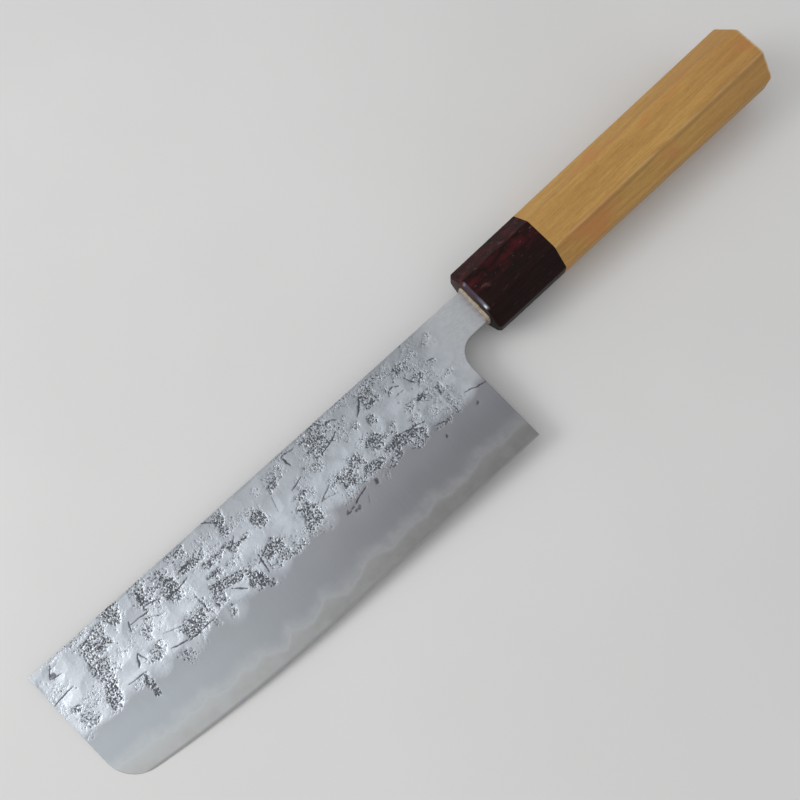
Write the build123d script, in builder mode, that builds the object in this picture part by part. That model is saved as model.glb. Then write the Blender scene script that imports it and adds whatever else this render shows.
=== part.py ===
from build123d import *
from math import cos, radians, sin, sqrt
import os

os.makedirs("parts", exist_ok=True)

# The knife lies on its left side. X runs from the tip to the butt, Y from the
# cutting edge to the spine, and Z from the lower face of the blade to the upper.
# The origin is the middle of the bounding box's bottom. Sizes are millimetres.

# Blade outline, seen from the side
blade_length = 165.0
heel_height = 50.0
heel_lean = 1.2
neck_gap = 14.0
neck_height = 12.8
neck_flare = 0.6
choil_radius = 7.0
belly_start = 81.0
belly_radius = 600.0
belly_steps = 6
tip_slant = 4.4
tip_corner_radius = 12.0
blade_lean = 0.9
spine_rise = 6.0

# Blade section: flat upper half, wide bevel, and a narrow bevel at the edge
neck_thickness = 3.2
tip_thickness = 2.0
flat_width = 27.0
flat_relief = 0.1
edge_bevel_width = 0.6
edge_bevel_thickness = 0.3
edge_land = 0.1
core_thickness = 1.2

# Tang, which steps down from the neck inside the ferrule
neck_seat = 5.0
tang_length = 90.0
tang_step = 1.7
tang_root_height = 9.0
tang_end_height = 6.0
tang_end_thickness = 2.2

# Octagonal handle, which grows from the ferrule's mouth to the butt
handle_length = 120.0
ferrule_length = 28.0
mouth_width = 23.7
mouth_thickness = 17.3
mouth_corner = 5.9
butt_width = 24.8
butt_thickness = 20.3
butt_corner = 6.8
mouth_bevel = 0.9
butt_ease = 0.8
facet_ease = 0.4

# Joinery inside the handle
dowel_radius = 7.0
dowel_in_ferrule = 12.0
dowel_in_grip = 22.0
dowel_ease = 0.8
glue_line = 0.15
bedding_gap = 0.5
channel_end_gap = 3.0
seal_width = 0.55
seal_proud = 0.4
seal_ease = 0.15

# How far a cutting profile runs past the face that it cuts
overrun = 2.0

# An edge longer than this share of its piece runs along the handle
long_share = 0.8

# Places that follow from the sizes
lean = radians(blade_lean)
tip_reach = neck_gap + blade_length
overall_length = handle_length + tip_reach * cos(lean)
butt_x = overall_length / 2
mouth_x = butt_x - handle_length
joint_x = mouth_x + ferrule_length
grip_length = handle_length - ferrule_length
heel_drop = heel_height * cos(lean) - neck_gap * sin(lean) - spine_rise
axis_y = (heel_drop - butt_width / 2) / 2
axis_z = butt_thickness / 2
thickness_break = neck_gap + heel_lean
belly_reach = neck_gap + belly_start
corner_reach = tip_reach - tip_slant

# From the handle's axis to the facets at its corners, which lie at 45 degrees
mouth_diagonal = ((mouth_width + mouth_thickness) / 2 - mouth_corner) * cos(radians(45))
butt_diagonal = ((butt_width + butt_thickness) / 2 - butt_corner) * cos(radians(45))

# The blade's own plane: its x runs along the spine to the tip, its y down to the edge
blade_side = Plane(
    origin=(mouth_x, axis_y + spine_rise, axis_z),
    x_dir=(-cos(lean), sin(lean), 0),
    z_dir=(0, 0, 1),
)


def blade_section(reach):
    """Plane square to the spine at this reach from the ferrule; its x runs down to the edge."""
    return Plane(
        origin=blade_side.from_local_coords((reach, 0, 0)),
        x_dir=blade_side.y_dir,
        z_dir=blade_side.x_dir,
    )


def handle_section(x, facing=1):
    """Plane square to the handle's axis at x, facing the butt, or the tip with facing -1."""
    return Plane(origin=(x, axis_y, axis_z), x_dir=(0, 1, 0), z_dir=(facing, 0, 0))


def edge_depth(reach):
    """How far the cutting edge lies below the spine's line."""
    run = max(0, reach - belly_reach)
    return heel_height - (belly_radius - sqrt(belly_radius**2 - run**2))


def spine_thickness(reach):
    """Thickness at the spine: even along the neck, thinner towards the tip and the tang's end."""
    if reach < 0:
        return neck_thickness + (neck_thickness - tang_end_thickness) * reach / tang_length
    run = max(0, reach - thickness_break)
    return neck_thickness - (neck_thickness - tip_thickness) * run / (tip_reach - thickness_break)


def half_section(reach):
    """Upper half of the blade's section, as depth below the spine and height over its middle."""
    spine_half = spine_thickness(reach) / 2
    bevel_top = edge_depth(reach) - edge_bevel_width
    behind_edge = edge_bevel_thickness / 2
    narrowing = (behind_edge - edge_land / 2) / edge_bevel_width
    return [
        (-overrun, spine_half + flat_relief * overrun / flat_width),
        (flat_width, spine_half - flat_relief),
        (bevel_top, behind_edge),
        (bevel_top + behind_edge / narrowing, 0),
    ]


def handle_side(turn):
    """Plane through the handle's axis from its mouth, whose y points this many degrees above +Y."""
    up = radians(turn)
    return Plane(origin=(mouth_x, axis_y, axis_z), x_dir=(1, 0, 0), z_dir=(0, -sin(up), cos(up)))


def tang_corners(gap):
    """Outline of the tang, or of the channel that clears it all round by a gap."""
    end = tang_length + (channel_end_gap if gap else 0)
    top = tang_step - gap
    return [
        (-neck_seat, top),
        (-end, top),
        (-end, tang_step + tang_end_height + gap),
        (-neck_seat, tang_step + tang_root_height + gap),
    ]


# Laminated blank, from which the core and the two claddings are split
belly_run = tip_reach + overrun - belly_reach
stations = [-tang_length - overrun, 0, thickness_break]
stations += [belly_reach + belly_run * step / belly_steps for step in range(belly_steps + 1)]
heel = (neck_gap, heel_height)
choil = (neck_gap + heel_lean, neck_height + neck_flare)
belly_end = (corner_reach, edge_depth(corner_reach))
belly_middle_reach = (belly_reach + corner_reach) / 2

with BuildPart() as blank:
    for reach in stations:
        upper = half_section(reach)
        lower = [(depth, -height) for depth, height in reversed(upper[:-1])]
        with BuildSketch(blade_section(reach)):
            with BuildLine():
                Polyline(*upper, *lower, close=True)
            make_face()
    loft(ruled=True)
    with BuildSketch(blade_side) as outline:
        with BuildLine():
            Polyline(belly_end, (tip_reach, 0), (-neck_seat, 0), (-neck_seat, tang_step))
            Polyline(*tang_corners(0))
            Polyline(
                (-neck_seat, tang_step + tang_root_height),
                (-neck_seat, neck_height),
                (0, neck_height),
                choil,
                heel,
                (belly_reach, heel_height),
            )
            ThreePointArc(
                (belly_reach, heel_height),
                (belly_middle_reach, edge_depth(belly_middle_reach)),
                belly_end,
            )
        make_face()
        fillet(outline.vertices().sort_by_distance(choil)[0], choil_radius)
        fillet(outline.vertices().sort_by_distance(belly_end)[0], tip_corner_radius)
    extrude(amount=neck_thickness, both=True, mode=Mode.INTERSECT)

core_top = Plane.XY.offset(axis_z + core_thickness / 2)
core_bottom = Plane.XY.offset(axis_z - core_thickness / 2)

# Hard core steel: the cutting edge, and the middle layer up to the spine and the tang
with BuildPart() as blade_core:
    add(blank.part)
    split(bisect_by=core_top, keep=Keep.BOTTOM)
    split(bisect_by=core_bottom, keep=Keep.TOP)

blade_core.part.label = "blade_core"
export_step(blade_core.part, "parts/blade_core.step")

# Softer cladding on the upper face, which is the blade's right side
with BuildPart() as cladding_right:
    add(blank.part)
    split(bisect_by=core_top, keep=Keep.TOP)

cladding_right.part.label = "cladding_right"
export_step(cladding_right.part, "parts/cladding_right.step")

# The same cladding on the lower face
with BuildPart() as cladding_left:
    add(blank.part)
    split(bisect_by=core_bottom, keep=Keep.BOTTOM)

cladding_left.part.label = "cladding_left"
export_step(cladding_left.part, "parts/cladding_left.step")

# Outline of the ferrule's pocket, which clears the neck by the seal's width
with BuildSketch(blade_side) as neck_pocket:
    with BuildLine():
        Polyline(
            (-neck_seat, -seal_width),
            (overrun, -seal_width),
            (overrun, neck_height + seal_width),
            (-neck_seat, neck_height + seal_width),
            close=True,
        )
    make_face()

# Outline of the channel, which clears the tang by the bedding's gap
with BuildSketch(blade_side) as tang_channel:
    with BuildLine():
        Polyline(*tang_corners(bedding_gap), close=True)
    make_face()

pocket_half = neck_thickness / 2 + seal_width
channel_half = neck_thickness / 2 + bedding_gap

# Octagonal handle in one, cut from four wedges that cross along its axis
with BuildPart() as handle_blank:
    for turn, mouth_half, butt_half in (
        (0, mouth_width / 2, butt_width / 2),
        (45, mouth_diagonal, butt_diagonal),
        (90, mouth_thickness / 2, butt_thickness / 2),
        (135, mouth_diagonal, butt_diagonal),
    ):
        with BuildSketch(handle_side(turn)):
            with BuildLine():
                Polyline(
                    (0, -mouth_half),
                    (handle_length, -butt_half),
                    (handle_length, butt_half),
                    (0, mouth_half),
                    close=True,
                )
            make_face()
        extrude(amount=butt_width, both=True, mode=Mode.INTERSECT if turn else Mode.ADD)

# Dark wooden ferrule: pocket for the neck, channel for the tang, bore for the dowel
with BuildPart() as ferrule:
    add(handle_blank.part)
    split(bisect_by=handle_section(joint_x), keep=Keep.BOTTOM)
    chamfer(faces().sort_by(Axis.X)[0].edges(), mouth_bevel)
    fillet(edges().filter_by(lambda edge: edge.length > ferrule_length * long_share), facet_ease)
    extrude(neck_pocket.sketch, amount=pocket_half, both=True, mode=Mode.SUBTRACT)
    extrude(tang_channel.sketch, amount=channel_half, both=True, mode=Mode.SUBTRACT)
    with BuildSketch(handle_section(joint_x, facing=-1)):
        Circle(dowel_radius + glue_line)
    extrude(amount=dowel_in_ferrule + glue_line, mode=Mode.SUBTRACT)

ferrule.part.label = "ferrule"
export_step(ferrule.part, "parts/ferrule.step")

# Pale wooden grip: bore for the dowel, then the channel that the tang's end fills
with BuildPart() as grip:
    add(handle_blank.part)
    split(bisect_by=handle_section(joint_x), keep=Keep.TOP)
    chamfer(faces().sort_by(Axis.X)[-1].edges(), butt_ease)
    fillet(edges().filter_by(lambda edge: edge.length > grip_length * long_share), facet_ease)
    with BuildSketch(handle_section(joint_x)):
        Circle(dowel_radius + glue_line)
    extrude(amount=dowel_in_grip + glue_line, mode=Mode.SUBTRACT)
    extrude(tang_channel.sketch, amount=channel_half, both=True, mode=Mode.SUBTRACT)

grip.part.label = "grip"
export_step(grip.part, "parts/grip.step")

# Round dowel that joins ferrule and grip, slotted through for the tang
with BuildPart() as dowel:
    with BuildSketch(handle_section(joint_x - dowel_in_ferrule)):
        Circle(dowel_radius)
    extrude(amount=dowel_in_ferrule + dowel_in_grip)
    chamfer(edges(), dowel_ease)
    extrude(tang_channel.sketch, amount=channel_half, both=True, mode=Mode.SUBTRACT)

dowel.part.label = "dowel"
export_step(dowel.part, "parts/dowel.step")

# Bedding that fills the channel around the tang and beyond its end
with BuildPart() as tang_bedding:
    extrude(tang_channel.sketch, amount=channel_half, both=True)
    add(blank.part, mode=Mode.SUBTRACT)

tang_bedding.part.label = "tang_bedding"
export_step(tang_bedding.part, "parts/tang_bedding.step")

# Pale seal that fills the pocket around the neck and stands a little proud of the mouth
with BuildPart() as mouth_seal:
    extrude(neck_pocket.sketch, amount=pocket_half, both=True)
    split(bisect_by=handle_section(mouth_x - seal_proud), keep=Keep.TOP)
    chamfer(faces().sort_by(Axis.X)[0].edges(), seal_ease)
    add(blank.part, mode=Mode.SUBTRACT)

mouth_seal.part.label = "mouth_seal"
export_step(mouth_seal.part, "parts/mouth_seal.step")
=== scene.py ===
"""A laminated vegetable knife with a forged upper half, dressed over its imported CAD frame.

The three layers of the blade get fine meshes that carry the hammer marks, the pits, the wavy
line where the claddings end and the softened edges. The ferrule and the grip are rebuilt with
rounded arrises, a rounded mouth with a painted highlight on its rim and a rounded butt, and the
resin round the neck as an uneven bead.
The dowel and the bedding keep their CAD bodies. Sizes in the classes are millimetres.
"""

import logging
from collections.abc import Callable, Sequence
from dataclasses import dataclass, field
from enum import Enum
from math import atan2, cos, hypot, pi, radians, sin, sqrt
from typing import Any

import bmesh
import bpy
import numpy as np
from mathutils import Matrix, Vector


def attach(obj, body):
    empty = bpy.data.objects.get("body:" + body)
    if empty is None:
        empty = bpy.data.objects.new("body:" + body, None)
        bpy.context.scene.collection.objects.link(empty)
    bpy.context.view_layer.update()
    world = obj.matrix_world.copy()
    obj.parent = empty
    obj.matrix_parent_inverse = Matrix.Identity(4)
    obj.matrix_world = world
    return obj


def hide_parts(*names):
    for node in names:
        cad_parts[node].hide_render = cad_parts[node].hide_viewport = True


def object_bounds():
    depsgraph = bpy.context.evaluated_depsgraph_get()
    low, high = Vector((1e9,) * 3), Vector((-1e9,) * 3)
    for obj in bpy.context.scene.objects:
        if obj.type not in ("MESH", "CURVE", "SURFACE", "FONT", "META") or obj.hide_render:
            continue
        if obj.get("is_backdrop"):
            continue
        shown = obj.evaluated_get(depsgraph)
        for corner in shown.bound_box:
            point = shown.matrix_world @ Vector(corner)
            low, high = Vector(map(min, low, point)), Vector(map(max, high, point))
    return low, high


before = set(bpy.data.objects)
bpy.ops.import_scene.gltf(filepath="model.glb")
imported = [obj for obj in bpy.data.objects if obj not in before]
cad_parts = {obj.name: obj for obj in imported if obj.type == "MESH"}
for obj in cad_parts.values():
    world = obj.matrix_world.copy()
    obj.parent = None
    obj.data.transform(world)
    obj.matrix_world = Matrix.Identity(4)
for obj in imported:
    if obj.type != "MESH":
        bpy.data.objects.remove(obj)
CAD_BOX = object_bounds()

Array = np.ndarray
Triple = tuple[float, float, float]
Colour = Triple
Points = Sequence[tuple[float, float]]
Row = Callable[[Array], Array]

LOG = logging.getLogger("knife")
MM = 0.001
BODY = "root"
# Degrees between two faces from which their edge stays sharp
SHARP_ANGLE = 42.0
# Values along each side of a noise's table, after which it repeats
TABLE = 256
# Farther than any gap that it is compared with
FAR = 9.0
# The reach up to which a cladding's line is given
LINE_END = 190
# The CAD model's places in the frame: the handle's two ends, and its middle height
MOUTH_X, BUTT_X, AXIS_Z = 29.489, 149.489, 10.15


class Face(Enum):
    """A face of the blade; the value is the sign of its height over the blade's middle."""

    RIGHT = 1
    LEFT = -1


# ---- Numbers ----


def eased(ratio: Array) -> Array:
    """Returns a smooth step from 0 to 1 as ratio goes from 0 to 1."""
    ratio = np.clip(ratio, 0.0, 1.0)
    return ratio * ratio * (3 - 2 * ratio)


def spokes(angles: Array) -> Array:
    """Returns a unit vector of the plane for each angle, as rows."""
    return np.stack([np.cos(angles), np.sin(angles)], axis=-1)


def turned(vector: Array) -> Array:
    """Returns a vector of the plane, turned by a quarter."""
    return np.array([-vector[1], vector[0]])


def bearing(vector: Array) -> float:
    """Returns the angle at which a vector of the plane points."""
    return atan2(vector[1], vector[0])


def level(depth: float) -> Row:
    """Returns a row that lies at one depth below the spine."""
    return lambda reach: np.full(np.shape(reach), depth)


def raised(row: Row, gap: float) -> Row:
    """Returns a row that lies this much above another."""
    return lambda reach: row(reach) - gap


def between(upper: Row, lower: Row, share: float) -> Row:
    """Returns a row between two others.

    Args:
        upper: The row where the share is 0.
        lower: The row where it is 1.
        share: How far down it lies.

    Returns:
        The row.
    """

    def row(reach: Array) -> Array:
        """Returns how deep the row lies at these reaches."""
        start = upper(reach)
        return start + (lower(reach) - start) * share

    return row


@dataclass(frozen=True)
class SmoothNoise:
    """Seeded noise from about -1 to 1, smooth over cells of one size, in mm."""

    seed: int
    cell: float
    octaves: int = 1

    def __call__(self, x: Array, y: Array) -> Array:
        """Returns the noise at these places.

        Args:
            x: Places along the blade.
            y: Places across it.

        Returns:
            One value for each place.
        """
        total, weight, cell = 0.0, 1.0, self.cell
        for octave in range(self.octaves):
            table = np.random.default_rng(self.seed + octave).uniform(-1, 1, (TABLE, TABLE))
            total = total + weight * self._layer(table, x / cell, y / cell)
            weight, cell = weight / 2, cell / 2
        return total

    @staticmethod
    def _layer(table: Array, u: Array, v: Array) -> Array:
        """Returns one octave of the noise.

        Args:
            table: Its values at whole numbers.
            u: Places along the blade, in cells.
            v: Places across it, in cells.

        Returns:
            One value for each place.
        """
        i, j = np.floor(u).astype(int), np.floor(v).astype(int)
        a, b = eased(u - i), eased(v - j)
        i, j, m, n = i % TABLE, j % TABLE, (i + 1) % TABLE, (j + 1) % TABLE
        upper = table[i, j] * (1 - a) + table[m, j] * a
        lower = table[i, n] * (1 - a) + table[m, n] * a
        return upper * (1 - b) + lower * b


@dataclass(frozen=True)
class CellNoise:
    """Seeded cells about points scattered in the plane, one to a square of this size, in mm."""

    seed: int
    cell: float

    def __call__(self, x: Array, y: Array) -> tuple[Array, Array]:
        """Returns how far each place is from the nearest point, and that cell's own value.

        Args:
            x: Places along the blade.
            y: Places across it.

        Returns:
            The distances, as shares of the cell's size, and values from 0 to 1.
        """
        table = np.random.default_rng(self.seed).uniform(0, 1, (3, TABLE, TABLE))
        u, v = x / self.cell, y / self.cell
        i, j = np.floor(u).astype(int), np.floor(v).astype(int)
        nearest, value = np.full(u.shape, FAR), np.zeros(u.shape)
        for di in (-1, 0, 1):
            for dj in (-1, 0, 1):
                m, n = (i + di) % TABLE, (j + dj) % TABLE
                gap = np.hypot(i + di + table[0, m, n] - u, j + dj + table[1, m, n] - v)
                value = np.where(gap < nearest, table[2, m, n], value)
                nearest = np.minimum(nearest, gap)
        return nearest, value


# ---- Shape of the blade ----


@dataclass(frozen=True)
class BladePlace:
    """Where the blade lies: reach runs from the ferrule to the tip, depth from the spine."""

    mouth_x: float = MOUTH_X
    spine_y: float = 21.68696
    middle_z: float = AXIS_Z
    lean: float = 0.9

    def points(self, reach: Array, depth: Array, height: Array) -> Array:
        """Returns points of the frame, in metres.

        Args:
            reach: Distances from the ferrule along the spine.
            depth: Distances below the spine.
            height: Distances over the blade's middle plane.

        Returns:
            An array with one row of x, y and z for each point.
        """
        turn = radians(self.lean)
        x = self.mouth_x - reach * cos(turn) - depth * sin(turn)
        y = self.spine_y + reach * sin(turn) - depth * cos(turn)
        return np.stack([x, y, self.middle_z + height], axis=-1) * MM


@dataclass(frozen=True)
class BladeOutline:
    """The blade seen from the side, with the sizes of the CAD model."""

    length: float = 165.0
    heel_height: float = 50.0
    heel_lean: float = 1.2
    neck_gap: float = 14.0
    neck_height: float = 12.8
    neck_flare: float = 0.6
    neck_seat: float = 5.0
    choil_radius: float = 7.0
    belly_start: float = 81.0
    belly_radius: float = 600.0
    tip_slant: float = 4.4
    tip_corner_radius: float = 12.0
    tang_length: float = 90.0
    tang_top: float = 1.7
    tang_root: float = 10.7
    tang_end: float = 7.7
    seat_points: int = 10
    neck_points: int = 17
    choil_steps: int = 18
    corner_steps: int = 60

    @property
    def tip(self) -> float:
        """Reach of the spine's end."""
        return self.neck_gap + self.length

    @property
    def choil(self) -> Array:
        """Corner between neck and heel, before it is rounded."""
        return np.array([self.neck_gap + self.heel_lean, self.neck_height + self.neck_flare])

    def edge_depth(self, reach: Array) -> Array:
        """Returns how far the cutting edge lies below the spine at these reaches."""
        run = np.maximum(0.0, np.asarray(reach) - self.neck_gap - self.belly_start)
        return self.heel_height - (self.belly_radius - np.sqrt(self.belly_radius**2 - run**2))

    def heel_side(self, depth: Array) -> Array:
        """Returns the reach of the heel's line, carried on up to the spine."""
        reach, top = self.choil
        return reach + (self.neck_gap - reach) * ((depth - top) / (self.heel_height - top))

    def tip_side(self) -> Array:
        """Returns the tip's outline from the spine to the belly, with its rounded corner.

        Returns:
            Rows of reach and depth.
        """
        top = np.array([self.tip, 0.0])
        low_reach = self.tip - self.tip_slant
        low = np.array([low_reach, float(self.edge_depth(low_reach))])
        along = (low - top) / hypot(*(low - top))
        inward = turned(along)
        belly = np.array([self.neck_gap + self.belly_start, self.heel_height - self.belly_radius])
        start = top + inward * self.tip_corner_radius - belly
        half = start @ along
        reach = self.belly_radius - self.tip_corner_radius
        run = -half + sqrt(half**2 - start @ start + reach**2)
        middle = start + along * run
        angles = np.linspace(bearing(-inward), bearing(middle), self.corner_steps + 1)
        arc = spokes(angles) * self.tip_corner_radius
        straight = top + along * run * np.linspace(0, 1, self.corner_steps)[:-1, None]
        return np.concatenate([straight, belly + middle + arc])

    def neck_side(self) -> Array:
        """Returns the neck's lower line from inside the ferrule round to the heel's line.

        Returns:
            Rows of reach and depth.
        """
        corner, height, radius = self.choil, self.neck_height, self.choil_radius
        neck = corner - np.array([0.0, height])
        heel = np.array([self.neck_gap, self.heel_height]) - corner
        down, back = turned(neck) / hypot(*neck), turned(heel) / hypot(*heel)
        middle = corner + np.linalg.solve(np.array([down, back]), np.array([radius, radius]))
        angles = np.linspace(bearing(-down), bearing(-back), self.choil_steps + 1)
        arc = middle + spokes(angles) * radius
        seat = np.linspace(-self.neck_seat, 0, self.seat_points)
        inner = np.stack([seat, np.full(self.seat_points, height)], -1)
        reach = np.linspace(0, arc[0, 0], self.neck_points)[1:-1]
        flare = np.interp(reach, [0, arc[0, 0]], [height, arc[0, 1]])
        return np.concatenate([inner, np.stack([reach, flare], -1), arc])


@dataclass(frozen=True)
class BladeSection:
    """Half the blade's thickness as it is ground, with the sizes of the CAD model."""

    outline: BladeOutline = BladeOutline()
    neck_thickness: float = 3.2
    tip_thickness: float = 2.0
    tang_end_thickness: float = 2.2
    flat_width: float = 27.0
    flat_relief: float = 0.1
    ground_from: float = 25.2
    edge_bevel_width: float = 0.6
    behind_edge: float = 0.15
    edge_land: float = 0.05
    core_half: float = 0.6

    def spine_half(self, reach: Array) -> Array:
        """Returns half the thickness at the spine, and along the tang behind the ferrule's face.

        Args:
            reach: Distances from the ferrule.

        Returns:
            One value for each of them.
        """
        full = self.outline.neck_gap + self.outline.heel_lean
        run = np.clip((reach - full) / (self.outline.tip - full), 0, 1)
        thinner = (self.neck_thickness - self.tip_thickness) * run
        inside = np.clip(reach / self.outline.tang_length, -1, 0)
        inside = inside * (self.neck_thickness - self.tang_end_thickness)
        return (self.neck_thickness - thinner + inside) / 2

    def forged_half(self, reach: Array, depth: Array) -> Array:
        """Returns half the thickness of the flat upper part, before it is hammered."""
        return self.spine_half(reach) - self.flat_relief * depth / self.flat_width

    def ground_half(self, reach: Array, depth: Array) -> Array:
        """Returns half the thickness that the grinding leaves, down to the cutting edge.

        Args:
            reach: Distances from the ferrule.
            depth: Distances below the spine.

        Returns:
            One value for each place.
        """
        bevel_top = self.outline.edge_depth(reach) - self.edge_bevel_width
        top = self.forged_half(reach, self.ground_from)
        slope = (top - self.behind_edge) / (bevel_top - self.ground_from)
        main = self.behind_edge + (bevel_top - depth) * slope
        fine = (self.behind_edge - self.edge_land) / self.edge_bevel_width
        return np.where(depth < bevel_top, main, self.behind_edge - (depth - bevel_top) * fine)


@dataclass(frozen=True)
class Patch:
    """A hollow full of scale pits, as its middle, half sizes, turn in degrees and strength."""

    reach: float
    depth: float
    half_length: float
    half_width: float
    turn: float = 0.0
    strength: float = 1.0


@dataclass(frozen=True)
class Cut:
    """A straight mark pressed into the face, between two places, with its width and depth."""

    from_reach: float
    from_depth: float
    to_reach: float
    to_depth: float
    width: float = 0.5
    sink: float = 0.09


@dataclass(frozen=True)
class Relief:
    """What one face is at a set of points: its height, and marks that the finish reads.

    The marks are how forged it is, how dark, how far above the cladding's line, how pitted.
    """

    height: Array
    marks: Array


@dataclass(frozen=True)
class ForgedFace:
    """One face of the blade: hammered above, ground below, with its own marks and line."""

    section: BladeSection
    seed: int
    patches: Sequence[Patch]
    cuts: Sequence[Cut]
    line: Points
    line_wander: float = 0.45
    line_cell: float = 2.2
    hammered_from: float = 13.0
    hammered_run: float = 9.0
    struck_from: tuple[float, float] = (-8.0, -2.0)
    struck_size: tuple[float, float] = (200.0, 44.0)
    strike_gap: float = 5.4
    strike_span: float = 2.6
    strike_curve: float = 0.0065
    strike_tilt: float = 0.026
    strike_sink: float = 0.07
    crease_height: float = 0.03
    patch_sink: float = 0.035
    stray_from: float = 17.0
    stray_run: float = 10.0
    pit_size: float = 0.60
    pit_sink: float = 0.085
    grain_size: float = 0.5
    grain_sink: float = 0.15
    tear_sink: float = 0.05
    spot_gap: float = 3.4
    spot_sink: float = 0.05
    least_cover: float = 0.10
    thinnest: float = 0.04
    heel_rise: float = 0.055
    heel_end: float = 25.0
    heel_run: float = 8.0
    waves_end: float = 44.0
    waves_run: float = 10.0
    cuts_end: float = 33.0
    cuts_run: float = 3.0
    whole_rim: float = 0.9

    def line_depth(self, reach: Array) -> Array:
        """Returns how deep the wavy end of the cladding lies.

        Args:
            reach: Distances from the ferrule.

        Returns:
            One depth for each of them.
        """
        fine = np.linspace(0, LINE_END, 10 * LINE_END + 1)
        above = np.interp(fine, *np.array(self.line).T)
        spread = 12
        bell = np.exp(-np.square(np.linspace(-3, 3, 2 * spread + 1)) / 2)
        above = np.convolve(np.pad(above, spread, mode="edge"), bell / bell.sum(), "valid")
        wander = SmoothNoise(self.seed + 31, self.line_cell, 3)(fine, fine * 0)
        above = above + self.line_wander * wander
        return self.section.outline.edge_depth(reach) - np.interp(reach, fine, above)

    def strikes(self, reach: Array, depth: Array) -> tuple[Array, Array]:
        """Returns how far the hammer's strikes sink the face, and where two of them meet.

        Args:
            reach: Distances from the ferrule.
            depth: Distances below the spine.

        Returns:
            Heights of 0 or less, and 1 on a crease between strikes, falling to 0 beside it.
        """
        rng = np.random.default_rng(self.seed)
        size, (from_reach, from_depth) = self.strike_gap, self.struck_from
        columns, rows = (int(run / size) for run in self.struck_size)
        lowest, next_lowest = np.zeros(reach.shape), np.ones(reach.shape)
        for column in range(columns):
            near = np.abs(reach - from_reach - column * size) < self.strike_span * size
            x, y, low, next_low = reach[near], depth[near], lowest[near], next_lowest[near]
            for row in range(rows):
                shift = rng.uniform(-0.5, 0.5, 2)
                tilt = np.clip(rng.normal(0, 1, 2), -1.7, 1.7) * self.strike_tilt
                curve, base = rng.uniform(0.6, 1.6), rng.uniform(0.3, 1.0)
                dx = x - from_reach - (column + shift[0]) * size
                dy = y - from_depth - (row + shift[1]) * size
                bowl = self.strike_curve * curve * (dx**2 + dy**2) + tilt[0] * dx + tilt[1] * dy
                bowl = bowl - self.strike_sink * base
                next_low = np.minimum(next_low, np.maximum(low, bowl))
                low = np.minimum(low, bowl)
            lowest[near], next_lowest[near] = low, next_low
        return lowest, eased(1 - (next_lowest - lowest) / self.crease_height)

    def density(self, reach: Array, depth: Array) -> Array:
        """Returns how thickly the pits lie, by the patches and by stray ones between them.

        Args:
            reach: Distances from the ferrule.
            depth: Distances below the spine.

        Returns:
            Values from 0 to 1.
        """
        coarse = SmoothNoise(self.seed + 40, 2.6, 2)(reach, depth)
        fine = SmoothNoise(self.seed + 50, 0.9, 2)(reach, depth)
        thick = np.zeros(reach.shape)
        for patch in self.patches:
            turn = radians(patch.turn)
            x, y = reach - patch.reach, depth - patch.depth
            u = (x * cos(turn) + y * sin(turn)) / patch.half_length
            v = (y * cos(turn) - x * sin(turn)) / patch.half_width
            gap = 0.5 * np.maximum(np.abs(u), np.abs(v)) + 0.5 * np.hypot(u, v)
            gap = gap + 0.50 * coarse + 0.24 * fine
            cover = 0.62 * eased((1.35 - gap) / 0.7) + 0.38 * eased((2.5 - gap) / 1.4)
            thick = np.maximum(thick, patch.strength * cover)
        stray = SmoothNoise(self.seed + 55, 6.5, 3)(reach, depth) + 0.3 * fine
        on_blade = eased((reach - self.stray_from) / self.stray_run)
        return np.maximum(thick, 0.38 * eased((stray + 0.02) / 0.8) * on_blade)

    def cut_depth(self, reach: Array, depth: Array) -> tuple[Array, Array]:
        """Returns what the straight marks do to the face.

        Args:
            reach: Distances from the ferrule.
            depth: Distances below the spine.

        Returns:
            Heights of 0 or less, and how dark each place is.
        """
        sunk, dark = np.zeros(reach.shape), np.zeros(reach.shape)
        wander_x = 0.22 * SmoothNoise(self.seed + 80, 2.0, 2)(reach, depth)
        wander_y = 0.22 * SmoothNoise(self.seed + 81, 2.0, 2)(reach, depth)
        ragged = np.clip(0.90 + 0.4 * SmoothNoise(self.seed + 82, 0.8, 2)(reach, depth), 0.5, 1.35)
        for cut in self.cuts:
            dx, dy = cut.to_reach - cut.from_reach, cut.to_depth - cut.from_depth
            length = hypot(dx, dy)
            x, y = reach + wander_x - cut.from_reach, depth + wander_y - cut.from_depth
            along = (x * dx + y * dy) / length
            across = (y * dx - x * dy) / length
            part = np.clip(along / length, 0, 1)
            ends = eased(along / 0.7 + 0.6) * eased((length - along) / 0.7 + 0.6)
            taper = 0.55 + 0.45 * np.sin(pi * part)
            groove = eased(1.25 - np.abs(across) / (0.85 * cut.width * taper * ragged)) * ends
            bank = eased((across + 0.2) / 0.4) * eased(1 - across / (0.9 + 0.30 * length)) * ends
            sunk = np.minimum(sunk, -cut.sink * (0.6 * groove + 0.65 * bank * taper))
            dark = np.maximum(dark, groove * min(1.0, 0.25 + cut.sink / 0.13))
        return sunk, dark

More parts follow.
